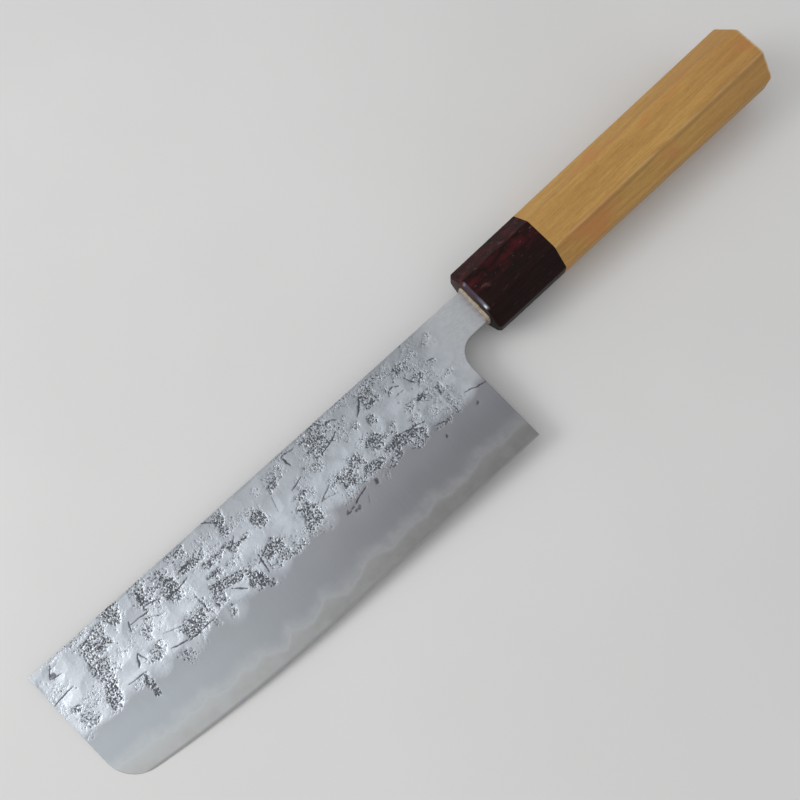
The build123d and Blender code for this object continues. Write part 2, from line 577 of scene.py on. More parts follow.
    def relief(self, reach: Array, depth: Array) -> Relief:
        """Returns the finished face at these places, before its outer edges are eased.

        Args:
            reach: Distances from the ferrule.
            depth: Distances below the spine.

        Returns:
            Heights over the blade's middle, with the marks for the finish.
        """
        hammered = eased((reach - self.hammered_from) / self.hammered_run)
        thick = np.maximum(self.density(reach, depth), self.least_cover * hammered)
        cut_sunk, cut_dark = self.cut_depth(reach, depth)
        struck, crease = self.strikes(reach, depth)
        gap, value = CellNoise(self.seed + 60, self.pit_size)(reach, depth)
        pits = eased((0.58 - gap) / 0.36) * eased((thick * 1.15 - value) / 0.22)
        own = (value * 7.31) % 1
        grain = SmoothNoise(self.seed + 62, self.grain_size)(reach, depth)
        tear = np.abs(SmoothNoise(self.seed + 65, 1.9, 2)(reach, depth))
        tears = np.maximum(eased((0.13 - tear) / 0.11), 0.8 * crease) * eased((thick - 0.3) / 0.3)
        loose, chance = CellNoise(self.seed + 61, self.spot_gap)(reach, depth)
        spots = eased((0.15 - loose) / 0.09) * (chance > 0.84) * hammered
        waves = SmoothNoise(self.seed + 71, 7.0, 2)(reach, depth)
        sunk = hammered * (struck - 0.010 * (1 + waves))
        sunk = sunk - self.patch_sink * eased((thick - 0.32) / 0.2)
        sunk = sunk - self.grain_sink * thick * (1 + grain) / 2
        sunk = sunk - self.pit_sink * pits * (0.4 + 0.6 * thick) - self.tear_sink * tears
        sunk = sunk + np.minimum(cut_sunk, -self.spot_sink * spots)
        outline = self.section.outline
        to_tip = outline.tip - outline.tip_slant * depth / outline.heel_height - reach
        sunk = sunk * (0.3 + 0.7 * eased(np.minimum(depth, to_tip) / self.whole_rim))
        whole = self.section.forged_half(reach, depth)
        room = whole - self.section.core_half - self.thinnest
        raw = whole - room * np.tanh(np.maximum(-sunk, 0.0) / room)
        ground = self.section.ground_half(reach, depth)
        uneven = 0.004 * SmoothNoise(self.seed + 72, 9.0)(reach, depth)
        uneven = uneven + self.heel_rise * eased((self.heel_end - reach) / self.heel_run)
        ground = ground + uneven * eased((self.waves_end - depth) / self.waves_run)
        ground = ground + 0.7 * cut_sunk * eased((self.cuts_end - depth) / self.cuts_run)
        left = eased((ground - raw + 0.02) / 0.05)
        dark = np.maximum(pits * (0.45 + 0.55 * thick) * (0.65 + 0.35 * own), 0.7 * tears)
        dark = np.maximum(dark, thick * 0.50 * eased((grain + 0.05) / 0.75))
        dark = np.maximum(dark, 0.6 * spots) * left
        forged = eased((ground - raw + 0.03) / 0.22)
        dark = np.maximum(dark, cut_dark)
        marks = np.stack([forged, dark, self.line_depth(reach) - depth, thick * left], -1)
        return Relief(np.minimum(raw, ground), marks)


# ---- Meshes ----


def grid_faces(grid: Array) -> list[list[int]]:
    """Returns the four-sided faces between the points of a grid of point numbers."""
    corners = [grid[:-1, :-1], grid[:-1, 1:], grid[1:, 1:], grid[1:, :-1]]
    return np.stack(corners, -1).reshape(-1, 4).tolist()


def tube(name: str, rings: Sequence[Array]) -> bpy.types.Mesh:
    """Returns a closed mesh through rings of points, with a face over each end.

    Args:
        name: The mesh's name.
        rings: Rows of x, y and z in metres, as many in each ring.

    Returns:
        The mesh.
    """
    numbers = np.arange(sum(map(len, rings))).reshape(len(rings), -1)
    faces = grid_faces(np.concatenate([numbers, numbers[:, :1]], axis=1))
    faces += [numbers[0].tolist(), numbers[-1].tolist()]
    mesh = bpy.data.meshes.new(name)
    mesh.from_pydata(np.concatenate(rings).tolist(), [], faces)
    return mesh


@dataclass
class Shell:
    """Points and faces gathered for one closed mesh, in reach, depth and height."""

    place: BladePlace
    mark_names: tuple[str, ...] = ()
    points: list[Array] = field(default_factory=list)
    marks: list[Array] = field(default_factory=list)
    faces: list[list[int]] = field(default_factory=list)
    count: int = 0

    def add(self, reach: Array, depth: Array, height: Array, marks: Array | None = None) -> Array:
        """Adds a grid of points and returns their numbers, in the grid's shape.

        Args:
            reach: Distances from the ferrule.
            depth: Distances below the spine.
            height: Distances over the blade's middle.
            marks: Values for the finish, with the marks in the last axis.

        Returns:
            The points' numbers.
        """
        numbers = np.arange(reach.size).reshape(reach.shape) + self.count
        self.count += reach.size
        self.points.append(np.stack([reach, depth, height], -1).reshape(-1, 3))
        width = len(self.mark_names)
        marks = np.zeros((*reach.shape, width)) if marks is None else marks
        self.marks.append(marks.reshape(reach.size, width))
        return numbers

    def quads(self, grid: Array) -> None:
        """Fills a grid of point numbers with four-sided faces."""
        self.faces.extend(grid_faces(grid))

    def row_wall(self, upper: Array, lower: Array) -> None:
        """Joins two rows of as many points with faces."""
        self.quads(np.stack([upper, lower]))

    def column_wall(self, upper: Array, lower: Array, under: Sequence[int]) -> None:
        """Joins a dense column to one that has only some of its rows, with a face for each.

        Args:
            upper: The dense column's points.
            lower: The other column's points.
            under: Which rows of the dense column they lie under.
        """
        for step, (start, end) in enumerate(zip(under, under[1:])):
            dense = upper[start : end + 1].tolist()
            self.faces.append([*dense, int(lower[step + 1]), int(lower[step])])

    def build(self, name: str) -> bpy.types.Object:
        """Joins the points that meet and makes the piece.

        Args:
            name: The piece's name.

        Returns:
            The piece, in the scene.
        """
        points = np.concatenate(self.points)
        marks = np.concatenate(self.marks)
        keys = np.round(points * 1e4).astype(np.int64)
        _, first, joined = np.unique(keys, axis=0, return_index=True, return_inverse=True)
        joined = joined.ravel()
        faces = []
        for face in self.faces:
            kept = [int(joined[number]) for number in face]
            kept = [p for p, before in zip(kept, kept[-1:] + kept[:-1]) if p != before]
            if len(kept) > 2:
                faces.append(kept)
        mesh = bpy.data.meshes.new(name)
        mesh.from_pydata(self.place.points(*points[first].T).tolist(), [], faces)
        for column, mark in enumerate(self.mark_names):
            layer = mesh.attributes.new(mark, "FLOAT", "POINT")
            layer.data.foreach_set("value", marks[first][:, column].astype(np.float32))
        return finished(name, mesh)


def linked(name: str, data: Any) -> bpy.types.Object:
    """Makes a new object in the scene.

    Args:
        name: Its name.
        data: The mesh, lamp or camera that it holds.

    Returns:
        The object.
    """
    thing = bpy.data.objects.new(name, data)
    bpy.context.scene.collection.objects.link(thing)
    return thing


def finished(name: str, mesh: bpy.types.Mesh) -> bpy.types.Object:
    """Turns a closed mesh's faces outwards, shades it smooth between sharp edges, and links it.

    Args:
        name: The piece's name.
        mesh: Its mesh.

    Returns:
        The new object.
    """
    shape = bmesh.new()
    shape.from_mesh(mesh)
    bmesh.ops.recalc_face_normals(shape, faces=shape.faces)
    open_edges = sum(not edge.is_manifold for edge in shape.edges)
    shape.to_mesh(mesh)
    shape.free()
    mesh.shade_smooth()
    mesh.set_sharp_from_angle(angle=radians(SHARP_ANGLE))
    LOG.info("%s: %d faces, %d open edges", name, len(mesh.polygons), open_edges)
    return linked(name, mesh)


def put_in_place(
    piece: bpy.types.Object, node: str, material: bpy.types.Material
) -> None:
    """Dresses a piece and puts it in place of a CAD node.

    Args:
        piece: The piece.
        node: The node's name.
        material: The piece's material.
    """
    piece.data.materials.append(material)
    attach(piece, BODY)
    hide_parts(node)


# ---- Shader maths ----


class Value:
    """A number that varies over a surface; Python's operators on it add Math nodes."""

    def __init__(self, graph: "Graph", socket: Any) -> None:
        """Keeps the graph and the socket that gives the number."""
        self.graph = graph
        self.socket = socket

    def __add__(self, other: "Value | float") -> "Value":
        """The sum."""
        return self.graph.maths("ADD", self, other)

    __radd__ = __add__

    def __sub__(self, other: "Value | float") -> "Value":
        """The difference."""
        return self.graph.maths("SUBTRACT", self, other)

    def __rsub__(self, other: "Value | float") -> "Value":
        """The difference, the other way round."""
        return self.graph.maths("SUBTRACT", other, self)

    def __mul__(self, other: "Value | float") -> "Value":
        """The product."""
        return self.graph.maths("MULTIPLY", self, other)

    __rmul__ = __mul__

    def ramp(self, low: float, high: float, start: float = 0.0, end: float = 1.0) -> "Value":
        """Returns a smooth step.

        Args:
            low: Where the step starts.
            high: Where it ends.
            start: The value up to low.
            end: The value from high on.

        Returns:
            The stepped value.
        """
        inputs = {
            "Value": self,
            "From Min": low,
            "From Max": high,
            "To Min": start,
            "To Max": end,
        }
        settings = {"interpolation_type": "SMOOTHSTEP"}
        node = self.graph.node("ShaderNodeMapRange", settings, inputs)
        return Value(self.graph, node.outputs["Result"])


class Graph:
    """The node tree of one material."""

    def __init__(self, name: str) -> None:
        """Starts a material with only its output.

        Args:
            name: The material's name.
        """
        self.material = bpy.data.materials.new(name)
        self.material.use_nodes = True
        self.nodes = self.material.node_tree.nodes
        self.links = self.material.node_tree.links
        self.nodes.clear()
        self.output = self.nodes.new("ShaderNodeOutputMaterial")

    def node(
        self,
        kind: str,
        settings: dict[str, Any] | None = None,
        inputs: dict[Any, Any] | None = None,
    ) -> bpy.types.Node:
        """Adds a node.

        Args:
            kind: The node's type.
            settings: Its properties, set first.
            inputs: Values, sockets or Values for its sockets, by name or number.

        Returns:
            The node.
        """
        node = self.nodes.new(kind)
        for key, value in (settings or {}).items():
            setattr(node, key, value)
        for key, value in (inputs or {}).items():
            socket = node.inputs[key]
            value = value.socket if isinstance(value, Value) else value
            if isinstance(value, bpy.types.NodeSocket):
                self.links.new(value, socket)
            elif isinstance(value, tuple) and len(value) == 3 and socket.type == "RGBA":
                socket.default_value = (*value, 1.0)
            else:
                socket.default_value = value
        return node

    def maths(self, operation: str, *values: Value | float) -> Value:
        """Adds a Math node and returns its value.

        Args:
            operation: The node's operation.
            values: What it works on.

        Returns:
            The result.
        """
        node = self.node("ShaderNodeMath", {"operation": operation}, dict(enumerate(values)))
        return Value(self, node.outputs[0])

    def mark(self, name: str) -> Value:
        """Returns a value that the mesh carries at its points."""
        node = self.node("ShaderNodeAttribute", {"attribute_name": name})
        return Value(self, node.outputs["Fac"])

    def place(self, stretch: Triple = (1.0, 1.0, 1.0)) -> Any:
        """Gives the place on the piece in mm.

        Args:
            stretch: What each axis is multiplied by.

        Returns:
            The place's socket.
        """
        where = self.node("ShaderNodeTexCoord").outputs["Object"]
        inputs = {0: where, 1: tuple(axis / MM for axis in stretch)}
        return self.node("ShaderNodeVectorMath", {"operation": "MULTIPLY"}, inputs).outputs[0]

    def axis(self, name: str) -> Value:
        """Returns X, Y or Z of the place on the piece, in mm."""
        node = self.node("ShaderNodeSeparateXYZ", {}, {0: self.place()})
        return Value(self, node.outputs[name])

    def noise(
        self, fineness: float | Triple, seed: float, detail: float = 2.0, rough: float = 0.5
    ) -> Value:
        """Returns noise from 0 to 1.

        Args:
            fineness: Cells for each mm, or as many along each axis.
            seed: Which of the noises it is.
            detail: How many finer layers it has.
            rough: How strong those are.

        Returns:
            The noise.
        """
        along_axes = isinstance(fineness, tuple)
        inputs = {
            "Vector": self.place(fineness) if along_axes else self.place(),
            "Scale": 1.0 if along_axes else fineness,
            "W": seed,
            "Detail": detail,
            "Roughness": rough,
        }
        node = self.node("ShaderNodeTexNoise", {"noise_dimensions": "4D"}, inputs)
        return Value(self, node.outputs[0])

    def cells(self, fineness: float) -> Value:
        """Returns the distance to the nearest of points scattered through the piece."""
        inputs = {"Vector": self.place(), "Scale": fineness}
        return Value(self, self.node("ShaderNodeTexVoronoi", {}, inputs).outputs["Distance"])

    def mix(self, share: Value | float, start: Any, end: Any) -> Any:
        """Returns a colour this share of the way from one to another, as a socket."""
        inputs = {0: share, 6: start, 7: end}
        return self.node("ShaderNodeMix", {"data_type": "RGBA"}, inputs).outputs[2]

    def bump(self, height: Value, distance: float, strength: float) -> Any:
        """Returns a normal for a height from 0 to 1 that stands for this many mm."""
        inputs = {"Strength": strength, "Distance": distance * MM, "Height": height}
        return self.node("ShaderNodeBump", {}, inputs).outputs["Normal"]

    def surface(self, inputs: dict[str, Any]) -> bpy.types.Material:
        """Ends the tree in a Principled surface.

        Args:
            inputs: Values, sockets or Values for its sockets, by name.

        Returns:
            The material.
        """
        shader = self.node("ShaderNodeBsdfPrincipled", {}, inputs)
        self.links.new(shader.outputs[0], self.output.inputs["Surface"])
        return self.material


# ---- Finishes ----


@dataclass(frozen=True)
class Finish:
    """A finish, whose kinds below give the inputs of its surface."""

    name: str

    def inputs(self, graph: Graph) -> dict[str, Any]:
        """Returns the surface's inputs, with the nodes that they need."""
        raise NotImplementedError

    def tint(self, graph: Graph, colour: Any) -> Any:
        """Returns the colour as it is, for kinds that stain it, paint highlights and shade on it,
        or darken lines on it to change.
        """
        return colour

    def material(self) -> bpy.types.Material:
        """Returns the finish as a material."""
        graph = Graph(self.name)
        return graph.surface(self.inputs(graph))


@dataclass(frozen=True)
class GroundSteel:
    """Colours of the ground steel, which greys towards the heel."""

    at_tip: Colour
    at_heel: Colour

    def colour(self, graph: Graph) -> Any:
        """Returns the colour over the blade, as a socket."""
        return graph.mix(graph.axis("X").ramp(-130.0, -22.0), self.at_tip, self.at_heel)


HAZE = GroundSteel((0.428, 0.454, 0.470), (0.356, 0.360, 0.370))


@dataclass(frozen=True)
class CladdingSteel(Finish):
    """Soft steel: bright and pitted where it is forged, satin where it is ground, with painted
    shade towards the spine and over the pitted patches, and painted glints among the pits.
    """

    name: str = "cladding_steel_finish"
    bright: Colour = (0.515, 0.555, 0.60)
    dull: Colour = (0.415, 0.445, 0.485)
    # Painted light: shade towards the spine, shade over the pitted patches, and glints among the
    # pits.
    painted_spine_shade: Colour = (0.355, 0.38, 0.41)
    painted_patch_shade: Colour = (0.20, 0.215, 0.24)
    painted_glint: Colour = (0.70, 0.745, 0.80)
    neck: Colour = (0.575, 0.595, 0.615)
    scuffed: Colour = (0.520, 0.540, 0.560)
    scale: Colour = (0.060, 0.064, 0.074)
    upper: GroundSteel = GroundSteel((0.320, 0.346, 0.372), (0.300, 0.306, 0.332))
    lower: GroundSteel = GroundSteel((0.357, 0.388, 0.415), (0.262, 0.268, 0.288))

    def inputs(self, graph: Graph) -> dict[str, Any]:
        """Makes the nodes of the finish.

        Args:
            graph: Where they are made.

        Returns:
            The surface's inputs.
        """
        forged, dark = graph.mark("forged"), graph.mark("dark")
        above, pitted = graph.mark("above_line"), graph.mark("pitted")
        near_neck = graph.axis("X").ramp(4.0, 20.0)
        clouds = graph.noise(0.16, 1.0, 3.0)
        mottle = graph.noise(0.25, 2.0)
        grit = graph.noise(1.7, 3.0)
        strokes = graph.noise((2.6, 0.10, 0.4), 4.0, 3.0, 0.6)
        stipple = 1 - graph.cells(1.7).ramp(0.28, 0.52)
        darkening = dark * 0.9 + stipple * pitted * 0.80 + (grit - 0.5) * (dark * 0.8 + pitted * 1.2)
        darkening = darkening.ramp(0.16, 0.84)
        edge = clouds * 4.0 + mottle * 3.0
        patchy = graph.noise(0.33, 5.0, 3.0, 0.6).ramp(0.3, 0.65, 0.55, 1.0)
        halo = (1 - (above - edge + 3.5).ramp(0.0, 5.0)) * patchy
        metal = graph.mix(mottle.ramp(0.3, 0.7), self.dull, self.bright)
        # Painted shade: the forged metal darkens towards the spine.
        metal = graph.mix(graph.axis("Y").ramp(6.0, 21.0, 0.0, 0.9), metal, self.painted_spine_shade)
        # Painted glints: bright specks between the pits, in the pitted patches.
        painted_glint_share = (1 - grit.ramp(0.36, 0.52)) * pitted.ramp(0.18, 0.65)
        # Painted shade: soft, broad dark mottles over the pitted patches.
        patch_shade_share = graph.noise(0.45, 7.0).ramp(0.42, 0.62) * pitted.ramp(0.15, 0.6)
        metal = graph.mix(patch_shade_share * 0.18, metal, self.painted_patch_shade)
        metal = graph.mix(stipple * (pitted * 0.5 + 0.14), metal, self.dull)
        metal = graph.mix(painted_glint_share * 0.6, metal, self.painted_glint)
        scuffs = graph.noise((0.5, 1.6, 0.5), 6.0, 3.0, 0.65)
        neck = graph.mix(scuffs.ramp(0.40, 0.62), self.neck, self.scuffed)
        metal = graph.mix(near_neck, metal, neck)
        satin = graph.mix(above.ramp(7.0, 15.0), self.lower.colour(graph), self.upper.colour(graph))
        satin = graph.mix(halo, satin, HAZE.colour(graph))
        satin = graph.mix(strokes.ramp(0.35, 0.7, 0.0, 0.10), satin, HAZE.colour(graph))
        colour = graph.mix(forged, satin, metal)
        colour = graph.mix(darkening * 0.9, colour, self.scale)
        rough = 0.33 + (1 - forged) * 0.05 + strokes * 0.04
        rough = rough + darkening * 0.12 + mottle * 0.04 + pitted * 0.03
        relief = strokes * (1 - forged) * 0.02 + mottle * forged * 0.03
        relief = relief - (grit + stipple * 1.2) * pitted.ramp(0.08, 0.85)
        return {
            "Base Color": colour,
            "Metallic": 1 - darkening * 0.25,
            "Roughness": rough,
            "Normal": graph.bump(relief, 0.10, 0.9),
        }


@dataclass(frozen=True)
class CoreSteel(Finish):
    """Hard steel: a warmer, finer satin, brightest at the cutting edge, where a highlight is
    painted.
    """

    name: str = "core_steel_finish"
    pale: GroundSteel = GroundSteel((0.426, 0.440, 0.445), (0.325, 0.325, 0.325))
    warm: GroundSteel = GroundSteel((0.374, 0.380, 0.379), (0.266, 0.264, 0.264))
    upper: GroundSteel = GroundSteel((0.448, 0.468, 0.478), (0.340, 0.342, 0.346))
    # Painted highlight colour for the cutting edge.
    painted_edge_highlight: Colour = (0.36, 0.365, 0.37)

    def inputs(self, graph: Graph) -> dict[str, Any]:
        """Makes the nodes of the finish.

        Args:
            graph: Where they are made.

        Returns:
            The surface's inputs.
        """
        clouds = graph.noise(0.22, 11.0, 3.0)
        strokes = graph.noise((3.0, 0.12, 0.4), 12.0, 3.0, 0.6)
        tone = clouds.ramp(0.3, 0.7) * 0.65 + strokes.ramp(0.3, 0.7) * 0.15
        colour = graph.mix(tone, self.warm.colour(graph), self.pale.colour(graph))
        from_edge = graph.mark("from_edge")
        colour = graph.mix(from_edge.ramp(2.0, 6.5, 0.0, 0.45), colour, self.upper.colour(graph))
        under_line = graph.mark("under_line") + clouds * 0.8 - 0.4
        colour = graph.mix((1 - under_line.ramp(0.0, 1.5)) * 0.8, colour, HAZE.colour(graph))
        # Painted highlight: the cutting edge gets one even, light colour.
        edge = 1 - from_edge.ramp(0.30, 0.65)
        return {
            "Base Color": graph.mix(edge, colour, self.painted_edge_highlight),
            "Metallic": 1.0,
            "Roughness": 0.36 + strokes * 0.06,
            "Normal": graph.bump(strokes, 0.003, 0.5),
        }


@dataclass(frozen=True)
class StraightGrainWood(Finish):
    """Wood whose grain runs along the handle, with rings, fibres and open pores."""

    pale: Colour
    deep: Colour
    blush: Colour
    pore: Colour
    ring_gap: float
    pore_share: float
    shine: float
    roughness: float
    seed: float

    def inputs(self, graph: Graph) -> dict[str, Any]:
        """Makes the nodes of the finish.

        Args:
            graph: Where they are made.

        Returns:
            The surface's inputs.
        """
        y, z = graph.axis("Y"), graph.axis("Z")
        drift = graph.noise((0.012, 0.05, 0.05), self.seed)
        across = y * 0.30 + z * 0.95 + drift * 9.0
        rings = graph.maths("SINE", across * (2 * pi / self.ring_gap))
        broad = graph.noise((0.014, 0.34, 0.34), self.seed + 5)
        fibres = graph.noise((0.11, 1.9, 1.9), self.seed + 1, 3.0, 0.6)
        fine = graph.noise((0.35, 8.0, 8.0), self.seed + 2, 2.0, 0.6)
        clouds = graph.noise((0.050, 0.13, 0.13), self.seed + 3)
        dashes = graph.noise((0.25, 4.2, 4.2), self.seed + 4, 1.0)
        pores = dashes.ramp(self.pore_share, self.pore_share + 0.12)
        mottle = graph.noise(1.1, self.seed + 6, 3.0, 0.6)
        tone = broad.ramp(0.34, 0.66) * 0.24 + fibres.ramp(0.3, 0.7) * 0.36 + fine * 0.26
        tone = tone + rings * 0.05 + mottle * 0.44 - 0.17
        colour = graph.mix(tone.ramp(0.05, 0.95), self.pale, self.deep)
        colour = graph.mix(clouds.ramp(0.50, 0.70, 0.0, 0.8), colour, self.blush)
        colour = self.tint(graph, graph.mix(pores * 0.5, colour, self.pore))
        relief = fibres * 0.25 + fine * 0.2 - pores * 0.6
        return {
            "Base Color": colour,
            "Roughness": self.roughness + fine * 0.08 + pores * 0.15,
            "Specular IOR Level": self.shine,
            "Normal": graph.bump(relief, 0.05, 0.6),
        }


@dataclass(frozen=True)
class FerruleWood(StraightGrainWood):
    """Dark wood, reddest towards the spine, with a painted highlight and painted glints on the
    mouth's rim over the neck.
    """

    red: Colour = (0.060, 0.0070, 0.0095)
    fleck: Colour = (0.115, 0.050, 0.050)
    # Painted highlight colours for the mouth's rim, dim and bright, and the painted glints.
    painted_rim_dim: Colour = (0.070, 0.052, 0.078)
    painted_rim_bright: Colour = (0.150, 0.150, 0.172)
    painted_glint: Colour = (0.82, 0.84, 0.92)

    def tint(self, graph: Graph, colour: Any) -> Any:
        """Returns the colour with the red stain and the painted highlight and glints on the mouth's
        rim.

        Args:
            graph: The finish's nodes.
            colour: The wood's own colour.

        Returns:
            The colour's socket.
        """
        x, y, z = (graph.axis(axis) for axis in "XYZ")
        stain = graph.noise((0.15, 0.36, 0.36), 43.0, 4.0, 0.68)
        flecks = graph.noise((0.42, 1.2, 1.2), 45.0).ramp(0.60, 0.70)
        reddish = y.ramp(12.0, 20.0)
        colour = graph.mix(stain.ramp(0.40, 0.66) * reddish * 0.9, colour, self.red)
        colour = graph.mix(flecks * (reddish * 0.6 + 0.15), colour, self.fleck)
        rim_wobble = graph.noise((1.2, 0.7, 1.2), 44.0, 3.0, 0.6)
        # Painted highlight on the mouth's top arris: dim near the spine, brighter towards the edge,
        # with a painted glint near each end.
        on_top = (z + rim_wobble * 0.5).ramp(17.85, 18.35) * (1 - (x + rim_wobble * 0.5).ramp(29.9, 30.35))
        along = y.ramp(9.3, 10.6) * (1 - y.ramp(20.2, 21.9)) * rim_wobble.ramp(0.20, 0.50, 0.55, 1.0)
        painted_light_mix = graph.mix(1 - y.ramp(11.5, 16.0), self.painted_rim_dim, self.painted_rim_bright)
        spot = y.ramp(10.1, 10.8) * (1 - y.ramp(11.0, 12.2)) * (1 - x.ramp(29.35, 29.75))
        painted_light_mix = graph.mix(spot * 0.9, painted_light_mix, self.painted_glint)
        painted_light_mix = graph.mix(y.ramp(19.9, 20.9) * 0.22, painted_light_mix, self.painted_glint)
        return graph.mix(on_top * along, colour, painted_light_mix)


@dataclass(frozen=True)
class GripWood(StraightGrainWood):
    """Light wood, with a painted highlight along the arris and round the butt's rim, and a painted
    shadow under the arris.
    """

    # Painted highlight along the arris, painted highlight round the butt's rim, painted shadow
    # under the arris, and a darker tone towards the butt.
    painted_arris_highlight: Colour = (0.66, 0.47, 0.235)
    painted_butt_highlight: Colour = (0.70, 0.53, 0.30)
    shadow: Colour = (0.30, 0.165, 0.050)
    butt_end_tone: Colour = (0.40, 0.185, 0.055)
    arris_y: float = 9.66
    arris_turn: float = 0.0029
    butt_x: float = BUTT_X
    upper_z: float = 16.5

    def tint(self, graph: Graph, colour: Any) -> Any:
        """Returns the colour with the painted highlight along the arris, the painted shadow under
        it, the painted highlight round the butt's rim and a darker, redder tone towards the butt.

        Args:
            graph: The finish's nodes.
            colour: The wood's own colour.

        Returns:
            The colour's socket.
        """
        x, y, z = (graph.axis(axis) for axis in "XYZ")
        painted_light_mix = graph.noise((0.10, 0.5, 0.5), 26.0, 3.0, 0.6).ramp(0.30, 0.60)
        from_arris = y - x * self.arris_turn - self.arris_y
        upper = z.ramp(self.upper_z, self.upper_z + 0.6)
        # Painted highlight along the arris between the top and the chamfer, and painted shadow just
        # under it.
        line = from_arris.ramp(-0.50, -0.10) * (1 - from_arris.ramp(0.15, 0.60)) * upper
        below = from_arris.ramp(-1.7, -1.1) * (1 - from_arris.ramp(-0.75, -0.35)) * upper
        # Painted highlight: a light band round the butt's rim.
        rim = x.ramp(self.butt_x - 1.5, self.butt_x - 0.9)
        rim = rim * (1 - x.ramp(self.butt_x - 0.2, self.butt_x))
        # Darker and redder towards the butt.
        colour = graph.mix(x.ramp(108.0, 146.0) * 0.30, colour, self.butt_end_tone)
        colour = graph.mix(below * painted_light_mix * 0.55, colour, self.shadow)
        colour = graph.mix(line * painted_light_mix * 0.32, colour, self.painted_arris_highlight)
        return graph.mix(rim * (painted_light_mix * 0.5 + 0.4), colour, self.painted_butt_highlight)


GRIP_WOOD = GripWood(
    name="grip_wood_finish",
    pale=(0.545, 0.315, 0.085),
    deep=(0.385, 0.198, 0.050),
    blush=(0.495, 0.205, 0.060),
    pore=(0.27, 0.130, 0.035),
    ring_gap=3.1,
    pore_share=0.64,
    shine=0.4,
    roughness=0.50,
    seed=21.0,
)
FERRULE_WOOD = FerruleWood(
    name="ferrule_wood_finish",
    pale=(0.018, 0.0060, 0.0052),
    deep=(0.0050, 0.0028, 0.0026),
    blush=(0.010, 0.0055, 0.0045),
    pore=(0.002, 0.001, 0.001),
    ring_gap=1.7,
    pore_share=0.60,
    shine=0.10,
    roughness=0.40,
    seed=41.0,
)
DOWEL_WOOD = StraightGrainWood(
    name="dowel_wood_finish",
    pale=(0.55, 0.40, 0.22),
    deep=(0.45, 0.30, 0.15),
    blush=(0.50, 0.33, 0.17),
    pore=(0.30, 0.19, 0.09),
    ring_gap=2.4,
    pore_share=0.66,
    shine=0.4,
    roughness=0.60,
    seed=61.0,
)


@dataclass(frozen=True)
class Resin(Finish):
    """Set resin, cloudy and a little stained."""

    pale: Colour
    stain: Colour
    roughness: float
    seed: float

    def inputs(self, graph: Graph) -> dict[str, Any]:
        """Makes the nodes of the finish.

        Args:
            graph: Where they are made.

        Returns:
            The surface's inputs.
        """
        clouds = graph.noise(0.9, self.seed, 4.0, 0.6)
        grains = graph.noise(5.0, self.seed + 1)
        colour = graph.mix(clouds.ramp(0.35, 0.75), self.pale, self.stain)
        return {
            "Base Color": self.tint(graph, colour),
            "Roughness": self.roughness + grains * 0.12,
            "Normal": graph.bump(clouds + grains * 0.3, 0.05, 0.6),
        }


@dataclass(frozen=True)
class SealResin(Resin):
    """The resin round the neck: a cream bead over a thin greyer foot, darker at the bead's foot and
    where it meets the ferrule's face.
    """

    foot: Colour = (0.270, 0.245, 0.275)
    # Colour of the darker lines at the bead's foot and top.
    darkening: Colour = (0.135, 0.100, 0.080)

    def tint(self, graph: Graph, colour: Any) -> Any:
        """Returns the colour by how far up the bead a place lies.

        Args:
            graph: The finish's nodes.
            colour: The resin's own colour.

        Returns:
            The colour's socket.
        """
        rise = graph.mark("rise")
        colour = graph.mix(1 - rise.ramp(0.38, 0.50), colour, self.foot)
        # Darker lines at the bead's foot and where it meets the ferrule's face.
        line = rise.ramp(0.34, 0.42) * (1 - rise.ramp(0.46, 0.56)) + rise.ramp(0.86, 1.0) * 0.8
        return graph.mix(line * 0.85, colour, self.darkening)


SEAL_RESIN = SealResin("seal_resin_finish", (0.40, 0.345, 0.245), (0.28, 0.225, 0.155), 0.34, 71.0)
BEDDING_RESIN = Resin("bedding_resin_finish", (0.30, 0.20, 0.10), (0.20, 0.12, 0.05), 0.30, 81.0)


@dataclass(frozen=True)
class FloorPaper(Finish):
    """Pale matt paper, all but even."""

    name: str = "floor_paper"
    pale: Colour = (0.76, 0.76, 0.752)
    shade: Colour = (0.73, 0.73, 0.722)

    def inputs(self, graph: Graph) -> dict[str, Any]:
        """Makes the nodes of the finish.

        Args:
            graph: Where they are made.

        Returns:
            The surface's inputs.
        """
        clouds = graph.noise(0.01, 91.0, 3.0)
        return {
            "Base Color": graph.mix(clouds.ramp(0.3, 0.7), self.shade, self.pale),
            "Roughness": 0.75,
        }
